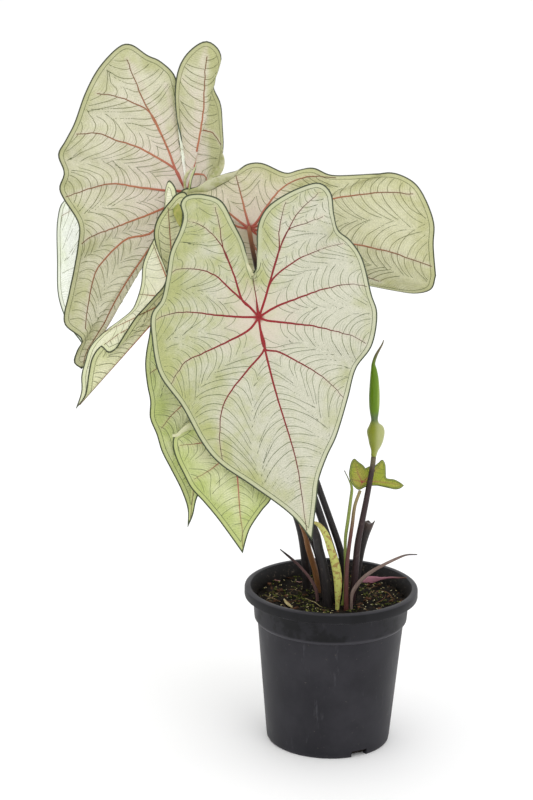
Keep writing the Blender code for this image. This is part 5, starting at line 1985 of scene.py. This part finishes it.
    def build(self) -> None:
        """Make every piece of the plant."""
        blades = self.blades()
        for blade in blades.values():
            blade.build()
        for flap in self.flaps(blades):
            flap.build()
        for stalk in self.stalks(blades):
            stalk.build()
        for strap in self.straps():
            strap.build()
        Bud([(26.5, 205.5, 1.8), (27.0, 209.5, 2.4), (27.4, 213.5, 4.1), (27.7, 218, 5.3),
             (27.5, 222.5, 6.0), (27.0, 225.5, 5.4), (26.5, 228, 3.4), (26.4, 231, 2.3),
             (26.2, 235.5, 2.9), (26.0, 241, 3.5), (25.8, 249, 3.6), (25.5, 259, 2.95),
             (25.0, 265.5, 2.1), (24.6, 270, 1.25), (26.3, 276, 1.0), (29.9, 283, 0.55),
             (31.0, 286.3, 0.3)]).build()
        Stub((13.5, 3.0), [(16.2, 110, 0, 2.8), (17.6, 125, -1, 2.9), (19.3, 138, -2, 3.1),
                           (21.6, 149, -3, 3.4), (24.4, 158, -3, 3.7)]).build()


@dataclass
class Studio:
    """Pale floor, soft lamps (name, power, size and place of each) and the camera."""

    lens: float = 90.54
    sensor: float = 36.0
    pitch: float = 14.15
    roll: float = 0.9
    floor_half: float = 60.0
    daylight: float = 1.07
    aim: Point3 = (-0.05, 0.0, 0.25)
    lamps: tuple[tuple[str, float, float, Point3], ...] = (
        ("key", 9.0, 1.4, (0.9, -1.5, 1.9)), ("fill", 3.0, 1.8, (-1.6, -1.0, 1.2)),
        ("back", 3.0, 1.4, (-0.3, 1.5, 1.6)))

    def build(self) -> None:
        """Make floor, lights and camera."""
        self._floor()
        self._lights()
        data = bpy.data.cameras.new("camera")
        data.lens, data.sensor_width, data.clip_end = self.lens, self.sensor, 200.0
        camera = bpy.data.objects.new("camera", data)
        camera.matrix_world = (Matrix.Translation(Vector(EYE) * MM)
                               @ Matrix.Rotation(math.radians(90 - self.pitch), 4, "X")
                               @ Matrix.Rotation(math.radians(self.roll), 4, "Z"))
        bpy.context.scene.collection.objects.link(camera)
        bpy.context.scene.camera = camera

    def _floor(self) -> None:
        """Wide pale floor."""
        bm = bmesh.new()
        bmesh.ops.create_grid(bm, x_segments=1, y_segments=1, size=self.floor_half)
        mesh = bpy.data.meshes.new("floor")
        bm.to_mesh(mesh)
        bm.free()
        s = Shade("floor_pale")
        mesh.materials.append(s.finish((0.95, 0.95, 0.95), 0.9, specular=0.1))
        floor = bpy.data.objects.new("floor", mesh)
        bpy.context.scene.collection.objects.link(floor)

    def _lights(self) -> None:
        """White surroundings with large soft lamps."""
        world = bpy.data.worlds.new("studio")
        world.use_nodes = True
        background = world.node_tree.nodes["Background"].inputs
        background["Color"].default_value = (1, 1, 1, 1)
        background["Strength"].default_value = self.daylight
        bpy.context.scene.world = world
        for name, power, size, at in self.lamps:
            data = bpy.data.lights.new(name, "AREA")
            data.energy, data.size = power, size
            lamp = bpy.data.objects.new(name, data)
            lamp.location = at
            lamp.rotation_mode = "QUATERNION"
            sight = Vector(self.aim) - Vector(at)
            lamp.rotation_quaternion = sight.to_track_quat("-Z", "Y")
            bpy.context.scene.collection.objects.link(lamp)


def dress_nodes() -> None:
    """Give the CAD nodes that stay their materials."""
    for node, finish in (("soil", MIX), ("tuber", TUBER)):
        material = finish.material()
        for slot in bpy.data.objects[node].material_slots:
            slot.material = material


def main() -> None:
    """Dress the frame."""
    logging.basicConfig(level=logging.INFO, format="%(name)s %(message)s")
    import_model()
    bpy.context.scene.view_settings.view_transform = "Standard"
    Studio().build()
    Pot().build()
    dress_nodes()
    MixTop().build()
    Plant().build()


if __name__ == "__main__":
    main()
